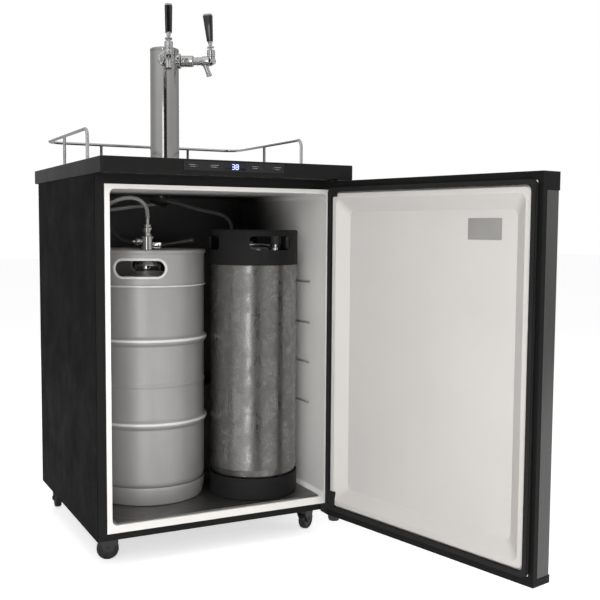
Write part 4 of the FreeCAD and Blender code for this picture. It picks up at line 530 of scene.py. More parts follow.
def added(name: str, data: bpy.types.ID) -> bpy.types.Object:
    """Makes an object from its data and links it to the scene.

    Args:
        name: Name of the object.
        data: Mesh, curve, lamp or camera.

    Returns:
        The object.
    """
    made = bpy.data.objects.new(name, data)
    bpy.context.scene.collection.objects.link(made)
    return made


def meshed(name: str, bm: Mesh) -> bpy.types.Mesh:
    """Turns a working mesh into a plain one and frees it.

    Args:
        name: Name of the plain mesh.
        bm: The working mesh.

    Returns:
        The plain mesh.
    """
    mesh = bpy.data.meshes.new(name)
    bm.to_mesh(mesh)
    bm.free()
    return mesh


def lathe(profile: Profile, steps: int = 96, segments: int = 4) -> Mesh:
    """Turns a profile about the vertical axis.

    Args:
        profile: Radius, height and, where it has one, corner round of each point, in metres.
        steps: Steps of the full turn.
        segments: Steps of each rounded corner.

    Returns:
        The turned mesh, with its corner rounds.
    """
    bm = bmesh.new()
    points = [bm.verts.new((radius, 0.0, height)) for radius, height, *_ in profile]
    for pair in zip(points, points[1:]):
        bm.edges.new(pair)
    for point, (_, _, *corner) in zip(points, profile):
        if corner:
            rounded(bm, [point], corner[0], segments, "VERTICES")
    bmesh.ops.spin(bm, geom=bm.verts[:] + bm.edges[:], cent=(0, 0, 0), axis=(0, 0, 1), dvec=(0, 0, 0),
                   angle=math.tau, steps=steps, use_merge=True)
    return merged(bm)


def block(low: Point, high: Point, corner: float = 0.0, along: Axis = Axis.Z, edge: float = 0.0,
          segments: int = 3) -> Mesh:
    """Box with rounded corners along one axis and eased edges.

    Args:
        low: Lowest corner.
        high: Highest corner.
        corner: Round of the edges that run along the axis.
        along: That axis.
        edge: Ease of all other edges.
        segments: Steps of each round.

    Returns:
        The mesh.
    """
    bm = bmesh.new()
    bmesh.ops.create_cube(bm, size=1.0)
    size = Vector(high) - Vector(low)
    bmesh.ops.scale(bm, vec=size, verts=bm.verts[:])
    bmesh.ops.translate(bm, vec=(Vector(low) + Vector(high)) / 2, verts=bm.verts[:])
    direction = Vector(along.value)
    if corner > 0:
        upright = [line for line in bm.edges
                   if abs((line.verts[1].co - line.verts[0].co).normalized().dot(direction)) > 0.99]
        rounded(bm, upright, corner, max(segments, 5))
    if edge > 0:
        sharp = [line for line in bm.edges if line.calc_face_angle(0.0) > math.radians(50)]
        rounded(bm, sharp, edge, segments)
    return bm


def moved(bm: Mesh, matrix: Matrix) -> Mesh:
    """Applies a matrix to a mesh.

    Args:
        bm: The mesh.
        matrix: The matrix; one that mirrors also turns the faces.

    Returns:
        The same mesh.
    """
    bmesh.ops.transform(bm, matrix=matrix, verts=bm.verts[:])
    if matrix.to_3x3().determinant() < 0:
        bmesh.ops.reverse_faces(bm, faces=bm.faces[:])
    return bm


def joined(*parts: Mesh) -> Mesh:
    """Gathers several meshes in the first one.

    Args:
        *parts: Meshes to gather; all but the first are freed.

    Returns:
        The first mesh with all the others in it.
    """
    first, *rest = parts
    for part in rest:
        spare = meshed("spare", part)
        first.from_mesh(spare)
        bpy.data.meshes.remove(spare)
    return first


def merged_copy(node: str) -> Mesh:
    """Copy of a frame node's mesh with its doubles merged and its flat faces joined.

    Args:
        node: Name of the node.

    Returns:
        The copy.
    """
    bm = bmesh.new()
    bm.from_mesh(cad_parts[node].data)
    bmesh.ops.remove_doubles(bm, verts=bm.verts[:], dist=2 * MERGE)
    bmesh.ops.dissolve_limit(bm, angle_limit=math.radians(0.4), verts=bm.verts[:], edges=bm.edges[:])
    return bm


def strung(name: str, kind: str, points: Sequence[Iterable[float]], radius: float,
           resolution: int) -> bpy.types.Curve:
    """Round curve along a line of points.

    Args:
        name: Name of the curve.
        kind: Kind of its spline.
        points: Points of the line.
        radius: Radius of the curve.
        resolution: Steps of a quarter turn round it.

    Returns:
        The curve, with capped ends.
    """
    curve = bpy.data.curves.new(name, "CURVE")
    curve.dimensions = "3D"
    curve.bevel_depth = radius
    curve.bevel_resolution = resolution
    curve.use_fill_caps = True
    line = curve.splines.new(kind)
    line.points.add(len(points) - 1)
    for knot, point in zip(line.points, points):
        knot.co = (*point, 1.0)
    return curve


def tube(points: Sequence[Iterable[float]], radius: float, sides: int, closed: bool = False) -> Mesh:
    """Round bar along a line of points.

    Args:
        points: Points of the line.
        radius: Radius of the bar.
        sides: Faces round the bar.
        closed: Whether the line is a loop.

    Returns:
        The bar's mesh.
    """
    curve = strung("line", "POLY", points, radius, sides // 4)
    curve.use_fill_caps = not closed
    curve.splines[0].use_cyclic_u = closed
    carrier = added("line", curve)
    mesh = bpy.data.meshes.new_from_object(carrier)
    bm = bmesh.new()
    bm.from_mesh(mesh)
    bpy.data.objects.remove(carrier)
    bpy.data.curves.remove(curve)
    bpy.data.meshes.remove(mesh)
    return merged(bm)


def place(bm: Mesh, name: str, finish: Finish, body: str, slot: str, *stands_for: str,
          sharp: float = 32.0) -> bpy.types.Object:
    """Turns a mesh into a piece of the product.

    Args:
        bm: The mesh, which is freed.
        name: Name of the piece.
        finish: Its finish.
        body: Body that carries it.
        slot: Material slot of the record; not used.
        *stands_for: Frame nodes that it replaces.
        sharp: Angle in degrees past which an edge stays sharp.

    Returns:
        The piece.
    """
    mesh = meshed(name, bm)
    mesh.shade_smooth()
    mesh.set_sharp_from_angle(angle=math.radians(sharp))
    mesh.materials.append(finish.material())
    piece = added(name, mesh)
    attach(piece, body)
    if stands_for:
        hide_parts(*stands_for)
    return piece


def eased(piece: bpy.types.Object, width: float, segments: int = 2, angle: float = 40.0) -> None:
    """Eases a piece's sharp edges with a Bevel modifier.

    Args:
        piece: The piece.
        width: Width of the ease.
        segments: Steps of the ease.
        angle: Angle in degrees past which an edge is eased.
    """
    bevel = piece.modifiers.new("ease", "BEVEL")
    bevel.width = width
    bevel.segments = segments
    bevel.limit_method = "ANGLE"
    bevel.angle_limit = math.radians(angle)
    bevel.use_clamp_overlap = True
    bevel.harden_normals = True


def redress(finish: Finish, *nodes: str) -> None:
    """Gives frame nodes that stay a finish of their own.

    Args:
        finish: The finish.
        *nodes: Names of the nodes.
    """
    for node in nodes:
        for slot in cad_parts[node].material_slots:
            slot.material = finish.material()


def recast(node: str, finish: Finish, body: str, slot: str, ease: float = 0.0, sharp: float = 32.0) -> None:
    """Replaces a frame node with a smooth copy of it.

    Args:
        node: Name of the node.
        finish: Its finish.
        body: Body that carries it.
        slot: Material slot of the record.
        ease: Ease of its sharp edges.
        sharp: Angle in degrees past which an edge stays sharp.
    """
    piece = place(merged_copy(node), f"{node}_dress", finish, body, slot, node, sharp=sharp)
    if ease > 0:
        eased(piece, ease)


def carve(bm: Mesh, cutter: Mesh) -> Mesh:
    """Cuts one mesh out of another.

    Args:
        bm: Mesh to cut; it is freed.
        cutter: Mesh to cut with; it is freed.

    Returns:
        The cut mesh.
    """
    stock, knife = (added(name, meshed(name, part)) for name, part in (("stock", bm), ("knife", cutter)))
    cut = stock.modifiers.new("cut", "BOOLEAN")
    cut.object = knife
    cut.operation = "DIFFERENCE"
    cut.solver = "EXACT"
    bpy.context.view_layer.update()
    result = bpy.data.meshes.new_from_object(stock.evaluated_get(bpy.context.evaluated_depsgraph_get()))
    made = bmesh.new()
    made.from_mesh(result)
    for mesh in (stock.data, knife.data, result):
        bpy.data.meshes.remove(mesh)
    return made


def rounded_loop(bm: Mesh, low: Pair, high: Pair, depth: float, corner: float,
                 segments: int = 6) -> list[bmesh.types.BMEdge]:
    """Adds a rectangle with rounded corners, upright in the XZ plane.

    Args:
        bm: Mesh to add to.
        low: Lowest x and z.
        high: Highest x and z.
        depth: Its y.
        corner: Round of its corners.
        segments: Steps of each round.

    Returns:
        The loop's edges.
    """
    known = set(bm.edges)
    corners = [bm.verts.new((x, depth, z)) for x, z in (low, (high[0], low[1]), high, (low[0], high[1]))]
    for pair in zip(corners[-1:] + corners, corners):
        bm.edges.new(pair)
    rounded(bm, corners, corner, segments, "VERTICES")
    return [edge for edge in bm.edges if edge not in known]


def hexagon(radius: float, depth: float, middle: float) -> Mesh:
    """Upright hexagonal bar.

    Args:
        radius: Radius of its corners.
        depth: Its length.
        middle: Height of its middle.

    Returns:
        The bar's mesh.
    """
    bm = bmesh.new()
    bmesh.ops.create_cone(bm, cap_ends=True, segments=6, radius1=radius, radius2=radius, depth=depth)
    return moved(bm, shift(0, 0, middle))


def screw_head(radius: float) -> Mesh:
    """Domed screw head with a hexagon socket, standing on the origin.

    Args:
        radius: Radius of the head.

    Returns:
        The head's mesh.
    """
    dome = lathe([(0, -radius * 0.1), (radius, -radius * 0.1), (radius, radius * 0.3, radius * 0.25),
                  (0, radius * 0.65)], 24, 3)
    return carve(dome, hexagon(radius * 0.42, radius, radius * 0.72))


# ---------------------------------------------------------------- assemblies
class Assembly:
    """Part of the product whose pieces ride on one body."""

    body = Body.CABINET.value

    def put(self, bm: Mesh, name: str, finish: Finish, slot: str, *nodes: str) -> bpy.types.Object:
        """Places a piece on the assembly's body, in the stead of any frame nodes named."""
        return place(bm, name, finish, self.body, slot, *nodes)

    def copy(self, node: str, finish: Finish, slot: str, ease: float = 0.0, sharp: float = 32.0) -> None:
        """Recasts a frame node on the assembly's body."""
        recast(node, finish, self.body, slot, ease, sharp)


# ---------------------------------------------------------------- studio
@dataclass
class Studio:
    """Camera, lamps, floor and surroundings."""

    eye: Point = (-0.81571, -1.89945, 0.7562)
    right: Point = (0.88939, -0.45711, 0.00662)
    up: Point = (0.0294, 0.07166, 0.997)
    forward: Point = (0.45621, 0.88652, -0.07717)
    lens: float = 55.894
    floor_size: float = 40.0
    high_bay: Point = (-103.5, 10.0, 14.0)
    low_bay: Point = (-107.0, 8.0, 15.0)
    floor_tones: tuple[Rgb, Rgb] = ((0.8, 0.8, 0.8), (0.82, 0.82, 0.82))
    floor_dark: Rgb = (0.08, 0.08, 0.08)
    floor_glow: float = 0.62
    sky_light: Rgb = (0.42, 0.42, 0.42)
    sky_dark: Rgb = (0.02, 0.02, 0.02)
    unmirrored: tuple[str, ...] = ("key", "fill", "low", "top")
    lamps: tuple[tuple[str, Point, Point, Pair, float], ...] = (
        ("key", (-2.2, -2.6, 2.2), (0.0, 0.2, 0.55), (1.6, 1.6), 40.0),
        ("strip", (-1.59, -2.073, 1.1), (0.0, 0.47, 0.9), (0.35, 2.0), 5.0),
        ("fill", (2.6, -1.6, 1.3), (0.1, 0.1, 0.5), (1.6, 1.6), 16.0),
        ("low", (-0.5, -1.7, 0.25), (0.05, 0.3, 0.9), (1.0, 0.4), 20.0),
        ("top", (-0.6, -1.4, 3.0), (0.0, 0.2, 0.4), (2.0, 1.4), 24.0),
        ("rear", (0.8, 3.2, 1.8), (0.0, 0.4, 0.6), (2.0, 2.0), 18.0))

    def build(self) -> None:
        """Places camera, lamps, floor and world."""
        self.camera()
        for lamp in self.lamps:
            self.lamp(*lamp)
        self.floor()
        self.world()
        bpy.context.scene.view_settings.view_transform = "Standard"

    def camera(self) -> None:
        """Places the camera."""
        data = bpy.data.cameras.new("camera")
        data.lens = self.lens
        data.sensor_width = 36.0
        data.sensor_fit = "HORIZONTAL"
        data.clip_end = 100.0
        eye = added("camera", data)
        axes = Matrix((self.right, self.up, [-part for part in self.forward])).transposed().to_4x4()
        eye.matrix_world = shift(*self.eye) @ axes
        bpy.context.scene.camera = eye

    def lamp(self, name: str, at: Point, target: Point, size: Pair, power: float) -> None:
        """Places one area lamp.

        Args:
            name: Name of the lamp.
            at: Its place.
            target: Point that it faces.
            size: Width and height.
            power: Watts.
        """
        data = bpy.data.lights.new(name, "AREA")
        data.shape = "RECTANGLE"
        data.size, data.size_y = size
        data.energy = power
        lamp = added(name, data)
        turn = (Vector(target) - Vector(at)).to_track_quat("-Z", "Y")
        lamp.matrix_world = shift(*at) @ turn.to_matrix().to_4x4()
        lamp.visible_camera = False
        lamp.visible_glossy = name not in self.unmirrored

    def floor(self) -> None:
        """Lays the pale floor."""
        bm = bmesh.new()
        bmesh.ops.create_grid(bm, x_segments=1, y_segments=1, size=self.floor_size / 2)
        ground = added("floor", meshed("floor", bm))
        paint = bpy.data.materials.new("studio_floor")
        paint.use_nodes = True
        w = Wiring(paint.node_tree)
        shader = paint.node_tree.nodes["Principled BSDF"]
        drift = w.add("TexNoise", {"Scale": 1.5, "Detail": 2.0}).outputs[0]
        pale = w.mix(drift, *self.floor_tones)
        ray = w.add("LightPath")
        spot = w.add("SeparateXYZ", {0: w.spot()})
        bay = w.math("MULTIPLY", self.bay(w, spot, self.low_bay), ray.outputs["Is Glossy Ray"])
        w.feed(shader.inputs["Base Color"], w.mix(bay, pale, self.floor_dark))
        shader.inputs["Roughness"].default_value = 0.9
        shader.inputs["Specular IOR Level"].default_value = 0.1
        glow = w.math("MULTIPLY", ray.outputs["Is Camera Ray"], self.floor_glow)
        w.feed(shader.inputs["Emission Strength"], glow)
        w.feed(shader.inputs["Emission Color"], rgba(WHITE))
        ground.data.materials.append(paint)

    @staticmethod
    def bay(w: Wiring, way: bpy.types.Node, bay: Point) -> Socket:
        """Mask of a dark bay behind the camera that metal mirrors.

        Args:
            w: Wiring of the material.
            way: Separated direction or place.
            bay: Its bearing, and half its width where it is full and where it ends, in degrees.

        Returns:
            The mask.
        """
        bearing, narrow, wide = (math.radians(value) for value in bay)
        angle = w.math("ARCTAN2", way.outputs[1], way.outputs[0])
        apart = w.math("ABSOLUTE", w.math("SUBTRACT", angle, bearing))
        return w.span(apart, narrow, wide, 1.0, 0.0, kind="SMOOTHSTEP")

    def world(self) -> None:
        """Surroundings: white to the eye, softer to light, with a dark bay that metal mirrors."""
        sky = bpy.data.worlds.new("studio")
        bpy.context.scene.world = sky
        sky.use_nodes = True
        w = Wiring(sky.node_tree)
        ray = w.add("LightPath")
        way = w.add("SeparateXYZ", {0: w.add("TexCoord").outputs["Generated"]})
        bay = self.bay(w, way, self.high_bay)
        side = w.span(way.outputs[0], -0.5, 0.6, 0.72, 0.55)
        back = w.span(way.outputs[1], -0.2, 0.5, 1.0, 0.65)
        height = w.span(way.outputs[2], 0.3, 0.8, 1.0, 1.3)
        under = w.span(way.outputs[2], -0.35, -0.02, 0.3, 1.0)
        tone = w.math("MULTIPLY", w.math("MULTIPLY", side, back), w.math("MULTIPLY", height, under))
        mirror = w.mix(bay, w.mix(tone, BLACK, WHITE), self.sky_dark)
        sharp = w.math("MAXIMUM", ray.outputs["Is Glossy Ray"], ray.outputs["Is Transmission Ray"])
        light = w.mix(sharp, self.sky_light, mirror)
        seen = w.mix(ray.outputs["Is Camera Ray"], light, WHITE)
        w.feed(sky.node_tree.nodes["Background"].inputs["Color"], seen)


# ---------------------------------------------------------------- hoses
@dataclass
class Hoses:
    """Beer and gas hoses between the kegs, the tower and the rear wall."""

    beer: tuple[Point, ...] = (
        (-0.1103, 0.2804, 0.781), (-0.1103, 0.2804, 0.796), (-0.1156, 0.2819, 0.8094),
        (-0.1255, 0.2846, 0.8196), (-0.1384, 0.2882, 0.8252), (-0.156, 0.2935, 0.8264),
        (-0.1755, 0.3005, 0.8215), (-0.192, 0.312, 0.813), (-0.2015, 0.331, 0.8045), (-0.2, 0.354, 0.799),
        (-0.1865, 0.376, 0.7975), (-0.164, 0.3945, 0.799), (-0.136, 0.4105, 0.8025), (-0.106, 0.426, 0.807),
        (-0.077, 0.4415, 0.8095), (-0.0495, 0.4524, 0.8136), (-0.0355, 0.4586, 0.8144),
        (-0.0229, 0.4643, 0.8195), (-0.0132, 0.4686, 0.8301), (-0.008, 0.471, 0.844), (-0.008, 0.471, 0.858))
    gas: tuple[Point, ...] = (
        (-0.1483, 0.2804, 0.72), (-0.16, 0.2804, 0.72), (-0.173, 0.282, 0.7235), (-0.184, 0.2855, 0.732),
        (-0.1915, 0.2915, 0.744), (-0.1975, 0.301, 0.7575), (-0.205, 0.316, 0.7715), (-0.214, 0.338, 0.784),
        (-0.2215, 0.368, 0.792), (-0.2255, 0.406, 0.795), (-0.2245, 0.446, 0.7935), (-0.2185, 0.484, 0.7895),
        (-0.2095, 0.516, 0.7845), (-0.205, 0.541, 0.782), (-0.205, 0.578, 0.782))
    tower: tuple[Point, ...] = (
        (0.0885, 0.23, 0.743), (0.0885, 0.23, 0.757), (0.0833, 0.2311, 0.7709), (0.0735, 0.2333, 0.7815),
        (0.06, 0.236, 0.788), (0.04, 0.2395, 0.7925), (0.015, 0.243, 0.797), (-0.012, 0.248, 0.804),
        (-0.038, 0.2545, 0.8125), (-0.0635, 0.265, 0.8195), (-0.081, 0.2835, 0.8235), (-0.0875, 0.309, 0.824),
        (-0.082, 0.337, 0.8225), (-0.067, 0.3635, 0.82), (-0.048, 0.3895, 0.816), (-0.0315, 0.4135, 0.8145),
        (-0.0166, 0.4358, 0.8132), (-0.0081, 0.4481, 0.8142), (-0.0003, 0.4595, 0.8195),
        (0.0057, 0.4683, 0.8301), (0.009, 0.473, 0.844), (0.009, 0.473, 0.858))

    def build(self) -> None:
        """Lays the three hoses."""
        self.lay("beer_hose", self.beer, 0.01, CLEAR_HOSE, "beer_line")
        self.lay("gas_hose", self.gas, 0.008, DARK_HOSE, "gas_line")
        self.lay("second_beer_hose", self.tower, 0.01, DARK_HOSE, "tower_hose")

    def lay(self, name: str, points: Sequence[Point], diameter: float, finish: Finish,
            node: str) -> None:
        """Lays one hose.

        Args:
            name: Name of the piece.
            points: Points of its route.
            diameter: Its diameter.
            finish: Its finish.
            node: Frame node that it replaces.
        """
        curve = strung(name, "NURBS", points, diameter / 2, 5)
        curve.resolution_u = 10
        curve.splines[0].order_u = 3
        curve.splines[0].use_endpoint_u = True
        curve.materials.append(finish.material())
        hose = added(name, curve)
        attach(hose, Body.CABINET.value)
        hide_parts(node)


# ---------------------------------------------------------------- cabinet
class Cabinet(Assembly):
    """Insulated box with its counter, liner and floor plate."""

    def build(self) -> None:
        """Dresses the cabinet."""
        self.copy("counter_top", COUNTER_BLACK, "black_counter", 0.0024)
        self.copy("liner", CAVITY_WHITE, "white_liner", 0.0016)
        self.copy("floor_plate", FLOOR_STEEL, "stainless", 0.0004)
        self.copy("rear_cover", PLAIN_PAINT, "black_paint", 0.0006)
        self.copy("compressor", PLAIN_PAINT, "black_paint", 0.0006)
        self.copy("gas_bulkhead", ZINC, "zinc_sheet", 0.0004)
        redress(TEXTURED_PAINT, "side_panel_left", "side_panel_right")
        redress(PLAIN_PAINT, "front_frame", "base_pan", "back_panel")
        redress(FOAM, "foam_insulation")


@dataclass
class ControlPanel(Assembly):
    """Fascia with a lit display and four buttons."""

    face: float = 0.0005
    middle: float = 0.8885
    digit_height: float = 0.0105
    digit_width: float = 0.0062
    digit_step: float = 0.0092
    stroke: float = 0.0015
    digit_thick: float = 0.00025
    glass_half: Pair = (0.0249, 0.0074)
    marks: tuple[Pair, ...] = ((-0.099, 0.018), (-0.05, 0.022), (0.048, 0.016), (0.1035, 0.017))
    mark_rows: tuple[Pair, ...] = ((0.0022, 0.5), (-0.0018, 0.36))

    def build(self) -> None:
        """Dresses the panel, its buttons and its display."""
        self.copy("control_panel", PANEL_GLOSS, "black_panel", 0.0004)
        for letter in "abcd":
            recast(f"button_{letter}", BUTTON_PLASTIC, f"button_{letter}_body", "black_plastic", 0.0005)
        wide, tall = self.glass_half
        glass = block((-wide, self.face + 0.0002, self.middle - tall),
                      (wide, self.face + 0.0006, self.middle + tall), 0.0008, Axis.Y, 0.0001)
        self.put(glass, "display_glass", SMOKED_WINDOW, "black_panel")
        self.put(self.digits("38"), "display_digits", DIGIT_GLOW, "black_panel")
        self.put(self.dashes(), "button_marks", PANEL_MARK, "black_panel")

    def segment(self, x: float, z: float, upright: bool) -> Mesh:
        """One bar of a digit.

        Args:
            x: Its middle.
            z: Its height.
            upright: Whether it stands up.

        Returns:
            The bar's mesh.
        """
        half = self.stroke / 2
        long = (self.digit_height / 2 if upright else self.digit_width) / 2 - half * 0.7
        across, along = (half, long) if upright else (long, half)
        back = self.face + self.digit_thick
        return block((x - across, self.face, z - along), (x + across, back, z + along), half * 0.5, Axis.Y)

    def digits(self, values: str) -> Mesh:
        """Seven-bar digits in the middle of the display.

        Args:
            values: The digits, left to right.

        Returns:
            The digits' mesh.
        """
        lit = {"3": "abgcd", "8": "abcdefg"}
        half_x, half_z = self.digit_width / 2, self.digit_height / 2
        spots = {"a": (0, half_z, False), "g": (0, 0, False), "d": (0, -half_z, False),
                 "b": (half_x, half_z / 2, True), "c": (half_x, -half_z / 2, True),
                 "f": (-half_x, half_z / 2, True), "e": (-half_x, -half_z / 2, True)}
        bars = []
        for order, value in enumerate(values):
            x0 = (order - (len(values) - 1) / 2) * self.digit_step
            for letter in lit[value]:
                dx, dz, upright = spots[letter]
                bars.append(self.segment(x0 + dx, self.middle + dz, upright))
        return joined(*bars)

    def dashes(self) -> Mesh:
        """Plain pale dashes beside the buttons, in two rows.

        Returns:
            The dashes' mesh.
        """
        bars = []
        for x, width in self.marks:
            for rise, share in self.mark_rows:
                low = (x - width * share, self.face - 0.00012, self.middle + rise - 0.0005)
                high = (x + width * share, self.face + 0.0001, self.middle + rise + 0.0005)
                bars.append(block(low, high, 0.0004, Axis.Y))
        return joined(*bars)


class CounterFittings(Assembly):
    """Guard rail and drip tray."""

    def build(self) -> None:
        """Dresses the rail and the tray."""
        self.copy("guard_rail", RAIL_CHROME, "chrome", sharp=40.0)
        self.copy("drip_tray", TRAY_STEEL, "stainless", 0.0005)
        self.copy("drip_grille", TRAY_STEEL, "stainless", 0.0003)


# ---------------------------------------------------------------- tower
@dataclass
class DraftTower(Assembly):
    """Column with two faucets, their levers and tap handles."""

    radius: float = 0.0381
    height: float = 0.3096
    flange_radius: float = 0.0635
    axis_out: float = 0.1227
    tilt: float = -5.0
    grip_base: Pair = (0.017, 0.0154)
    grip_top: Pair = (0.02, 0.0256)
    grip_low: float = 0.028
    grip_high: float = 0.0935
    screw: float = 0.0038
    screw_rise: float = 0.0074

    def build(self) -> None:
        """Builds the tower."""
        self.column()
        places = {side: shift(0, TOWER_Y, 0) @ turned(side.value) for side in Side}
        for name, make, node in (("shanks", self.shank, "faucet_shanks"),
                                 ("bonnets", self.bonnet, "bonnet_nuts")):
            self.put(joined(*(moved(make(), spot) for spot in places.values())), name, CHROME, "chrome", node)
        for side, spot in places.items():
            word = side.name.lower()
            self.put(moved(self.faucet(), spot), f"faucet_{word}_dress", CHROME, "chrome", f"faucet_{word}")
            lean = spot @ shift(0, -self.axis_out, PIVOT_Z) @ turned(self.tilt, "X")
            for make, name, finish, slot, node in (
                    (self.lever, f"lever_{word}_dress", CHROME, "chrome", [f"lever_{word}"]),
                    (self.grip, f"tap_grip_{word}", GRIP_GLOSS, "black_gloss", [f"tap_handle_{word}"]),
                    (self.crown, f"tap_crown_{word}", GRIP_CAP, "black_gloss", [])):
                place(moved(make(), lean), name, finish, f"lever_{word}_body", slot, *node)

    def along_barrel(self, profile: Profile) -> Mesh:
        """Turns a profile of radius and distance from the column about the faucet's axis."""
        return moved(lathe(profile, 48), shift(0, 0, BARREL_Z) @ turned(90, "X"))

    def column(self) -> None:
        """Builds the column, its cap and its flange with four screws."""
        r, f, low, top = self.radius, self.flange_radius, TOP_Z, TOP_Z + self.height
        for name, steps, profile in (
                ("column", 2, [(0, low), (r, low), (r, top, 0.0004), (0, top)]),
                ("cap", 5, [(0, top - 0.008), (r - 0.0018, top - 0.008), (r - 0.0018, top + 0.0004),
                            (r, top + 0.0004, 0.0003), (r, top + 0.0086, 0.0036), (0, top + 0.0086)]),
                ("flange", 4, [(r, low), (f, low), (f, low + 0.0035, 0.0008),
                               (f - 0.004, low + 0.0062, 0.0015), (r + 0.005, low + 0.0095, 0.003),
                               (r, low + 0.01)])):
            turning = moved(lathe(profile, 128, steps), shift(0, TOWER_Y, 0))
            self.put(turning, name, TOWER_STEEL, "stainless", f"tower_{name}")
        reach = (f + r) / 2 + 0.002
        middle = shift(0, TOWER_Y, low + self.screw_rise)
        heads = []
        for angle in (45, 135, 225, 315):
            spot = middle @ turned(angle) @ shift(reach, 0, 0) @ turned(-angle)
            heads.append(moved(screw_head(self.screw), spot))
        self.put(joined(*heads), "flange_screws", CHROME, "chrome")

    def shank(self) -> Mesh:
        """Saddle, threaded shank and coupling nut of one faucet.

        Returns:
            The mesh, with the faucet pointing to the front.
        """
        saddle = self.along_barrel([(0, 0.03), (0.02, 0.03), (0.02, 0.0425, 0.0012), (0.0165, 0.044, 0.0008),
                                    (0, 0.044)])
        thread = [(0, 0.043)]
        for turn in range(3):
            start = 0.044 + 0.0008 * turn
            thread += [(0.0106, start), (0.011, start + 0.0004)]
        thread += [(0.0106, 0.047), (0, 0.047)]
        nut = self.along_barrel([(0, 0.045), (0.0138, 0.045), (0.015, 0.0462, 0.0004), (0.015, 0.053, 0.0003),
                                 (0.0144, 0.0536), (0.0144, 0.0544), (0.015, 0.055, 0.0003),
                                 (0.015, 0.0749, 0.0006), (0.0125, 0.0774, 0.0005), (0.0106, 0.0774),
                                 (0.0106, 0.076), (0, 0.076)])
        return joined(saddle, self.along_barrel(thread), nut)

    def faucet(self) -> Mesh:
        """Faucet body: neck, barrel, bonnet seat and spout with its open mouth.

        Returns:
            The mesh, pointing to the front.
        """
        barrel = [(0, 0.058), (0.0103, 0.058), (0.0103, 0.085, 0.0008), (0.0113, 0.0862, 0.0004),
                  (0.0113, 0.0885, 0.0004), (0.0103, 0.0897, 0.0008), (0.0106, 0.095, 0.001),
                  (0.0132, 0.101, 0.003), (0.0132, 0.1225, 0.006), (0.0058, 0.135, 0.003), (0, 0.136)]
        z = BARREL_Z
        seat = lathe([(0, z), (0.011, z), (0.011, z + 0.0115), (0, z + 0.0115)], 48)
        start = Vector((0, -0.1042, z))
        down = Vector((0, -0.0146, -0.038))
        long = down.length
        profile = [(0, 0), (0.0078, 0), (0.007, 0.014, 0.002), (0.0065, long - 0.009, 0.001),
                   (0.0078, long - 0.0014, 0.0006), (0.0078, long, 0.0004), (0.0057, long, 0.0003),
                   (0.005, long - 0.0015), (0.005, long - 0.026), (0, long - 0.026)]
        spout = moved(lathe(profile, 40), Matrix.Translation(start) @ facing(down))
        return joined(self.along_barrel(barrel), moved(seat, shift(0, -self.axis_out, 0)), spout)

    def bonnet(self) -> Mesh:
        """Grooved bonnet nut over the lever's ball.

        Returns:
            The mesh, with the faucet pointing to the front.
        """
        z = BARREL_Z + 0.0115
        nut = lathe([(0, z - 0.002), (0.011, z - 0.002), (0.011, z + 0.0035, 0.0003), (0.0105, z + 0.004),
                     (0.0105, z + 0.0048), (0.011, z + 0.0053, 0.0003), (0.011, z + 0.016, 0.0012),
                     (0.0089, z + 0.018, 0.0006), (0.0084, z + 0.018), (0.0084, z + 0.0005), (0, z + 0.0005)],
                    48)
        return moved(nut, shift(0, -self.axis_out, 0))

    def lever(self) -> Mesh:
        """Ball, stem, collar, ferrule and stud of a lever, about the origin.

        Returns:
            The lever's mesh.
        """
        ball = bmesh.new()
        bmesh.ops.create_uvsphere(ball, u_segments=40, v_segments=24, radius=0.0081)
        stem = lathe([(0, 0), (0.0035, 0), (0.0035, 0.011, 0.0004), (0.009, 0.011, 0.0004),
                      (0.0095, 0.0118, 0.0003), (0.0095, 0.0148, 0.0012), (0.005, 0.0165, 0.0008),
                      (0.0046, 0.018), (0.0062, 0.0262, 0.0006), (0.0068, 0.027, 0.0003),
                      (0.0068, 0.0282, 0.0003), (0.004, 0.0282), (0.004, 0.039, 0.0004), (0, 0.039)], 48, 4)
        return joined(ball, stem)

    @staticmethod
    def tapered(low: Pair, high: Pair, z0: float, z1: float, corner: float, edge: float) -> Mesh:
        """Rounded block that widens evenly from bottom to top.

        Args:
            low: Width and depth at the bottom.
            high: Width and depth at the top.
            z0: Height of the bottom.
            z1: Height of the top.
            corner: Round of the upright edges.
            edge: Ease of the other edges.

        Returns:
            The block's mesh.
        """
        bm = block((-low[0] / 2, -low[1] / 2, z0), (low[0] / 2, low[1] / 2, z1), corner, Axis.Z, edge)
        for vert in bm.verts:
            share = (vert.co.z - z0) / (z1 - z0)
            vert.co.x *= 1 + share * (high[0] / low[0] - 1)
            vert.co.y *= 1 + share * (high[1] / low[1] - 1)
        return bm

    def grip(self) -> Mesh:
        """Tapered tap handle."""
        return self.tapered(self.grip_base, self.grip_top, self.grip_low, self.grip_high, 0.0045, 0.0006)

    def crown(self) -> Mesh:
        """Cap on top of a tap handle.

        Returns:
            The mesh, about the pivot.
        """
        low = (self.grip_top[0] - 0.0006, self.grip_top[1] - 0.0006)
        high = (self.grip_top[0] - 0.005, self.grip_top[1] - 0.005)
        return self.tapered(low, high, self.grip_high, self.grip_high + 0.005, 0.0042, 0.0012)


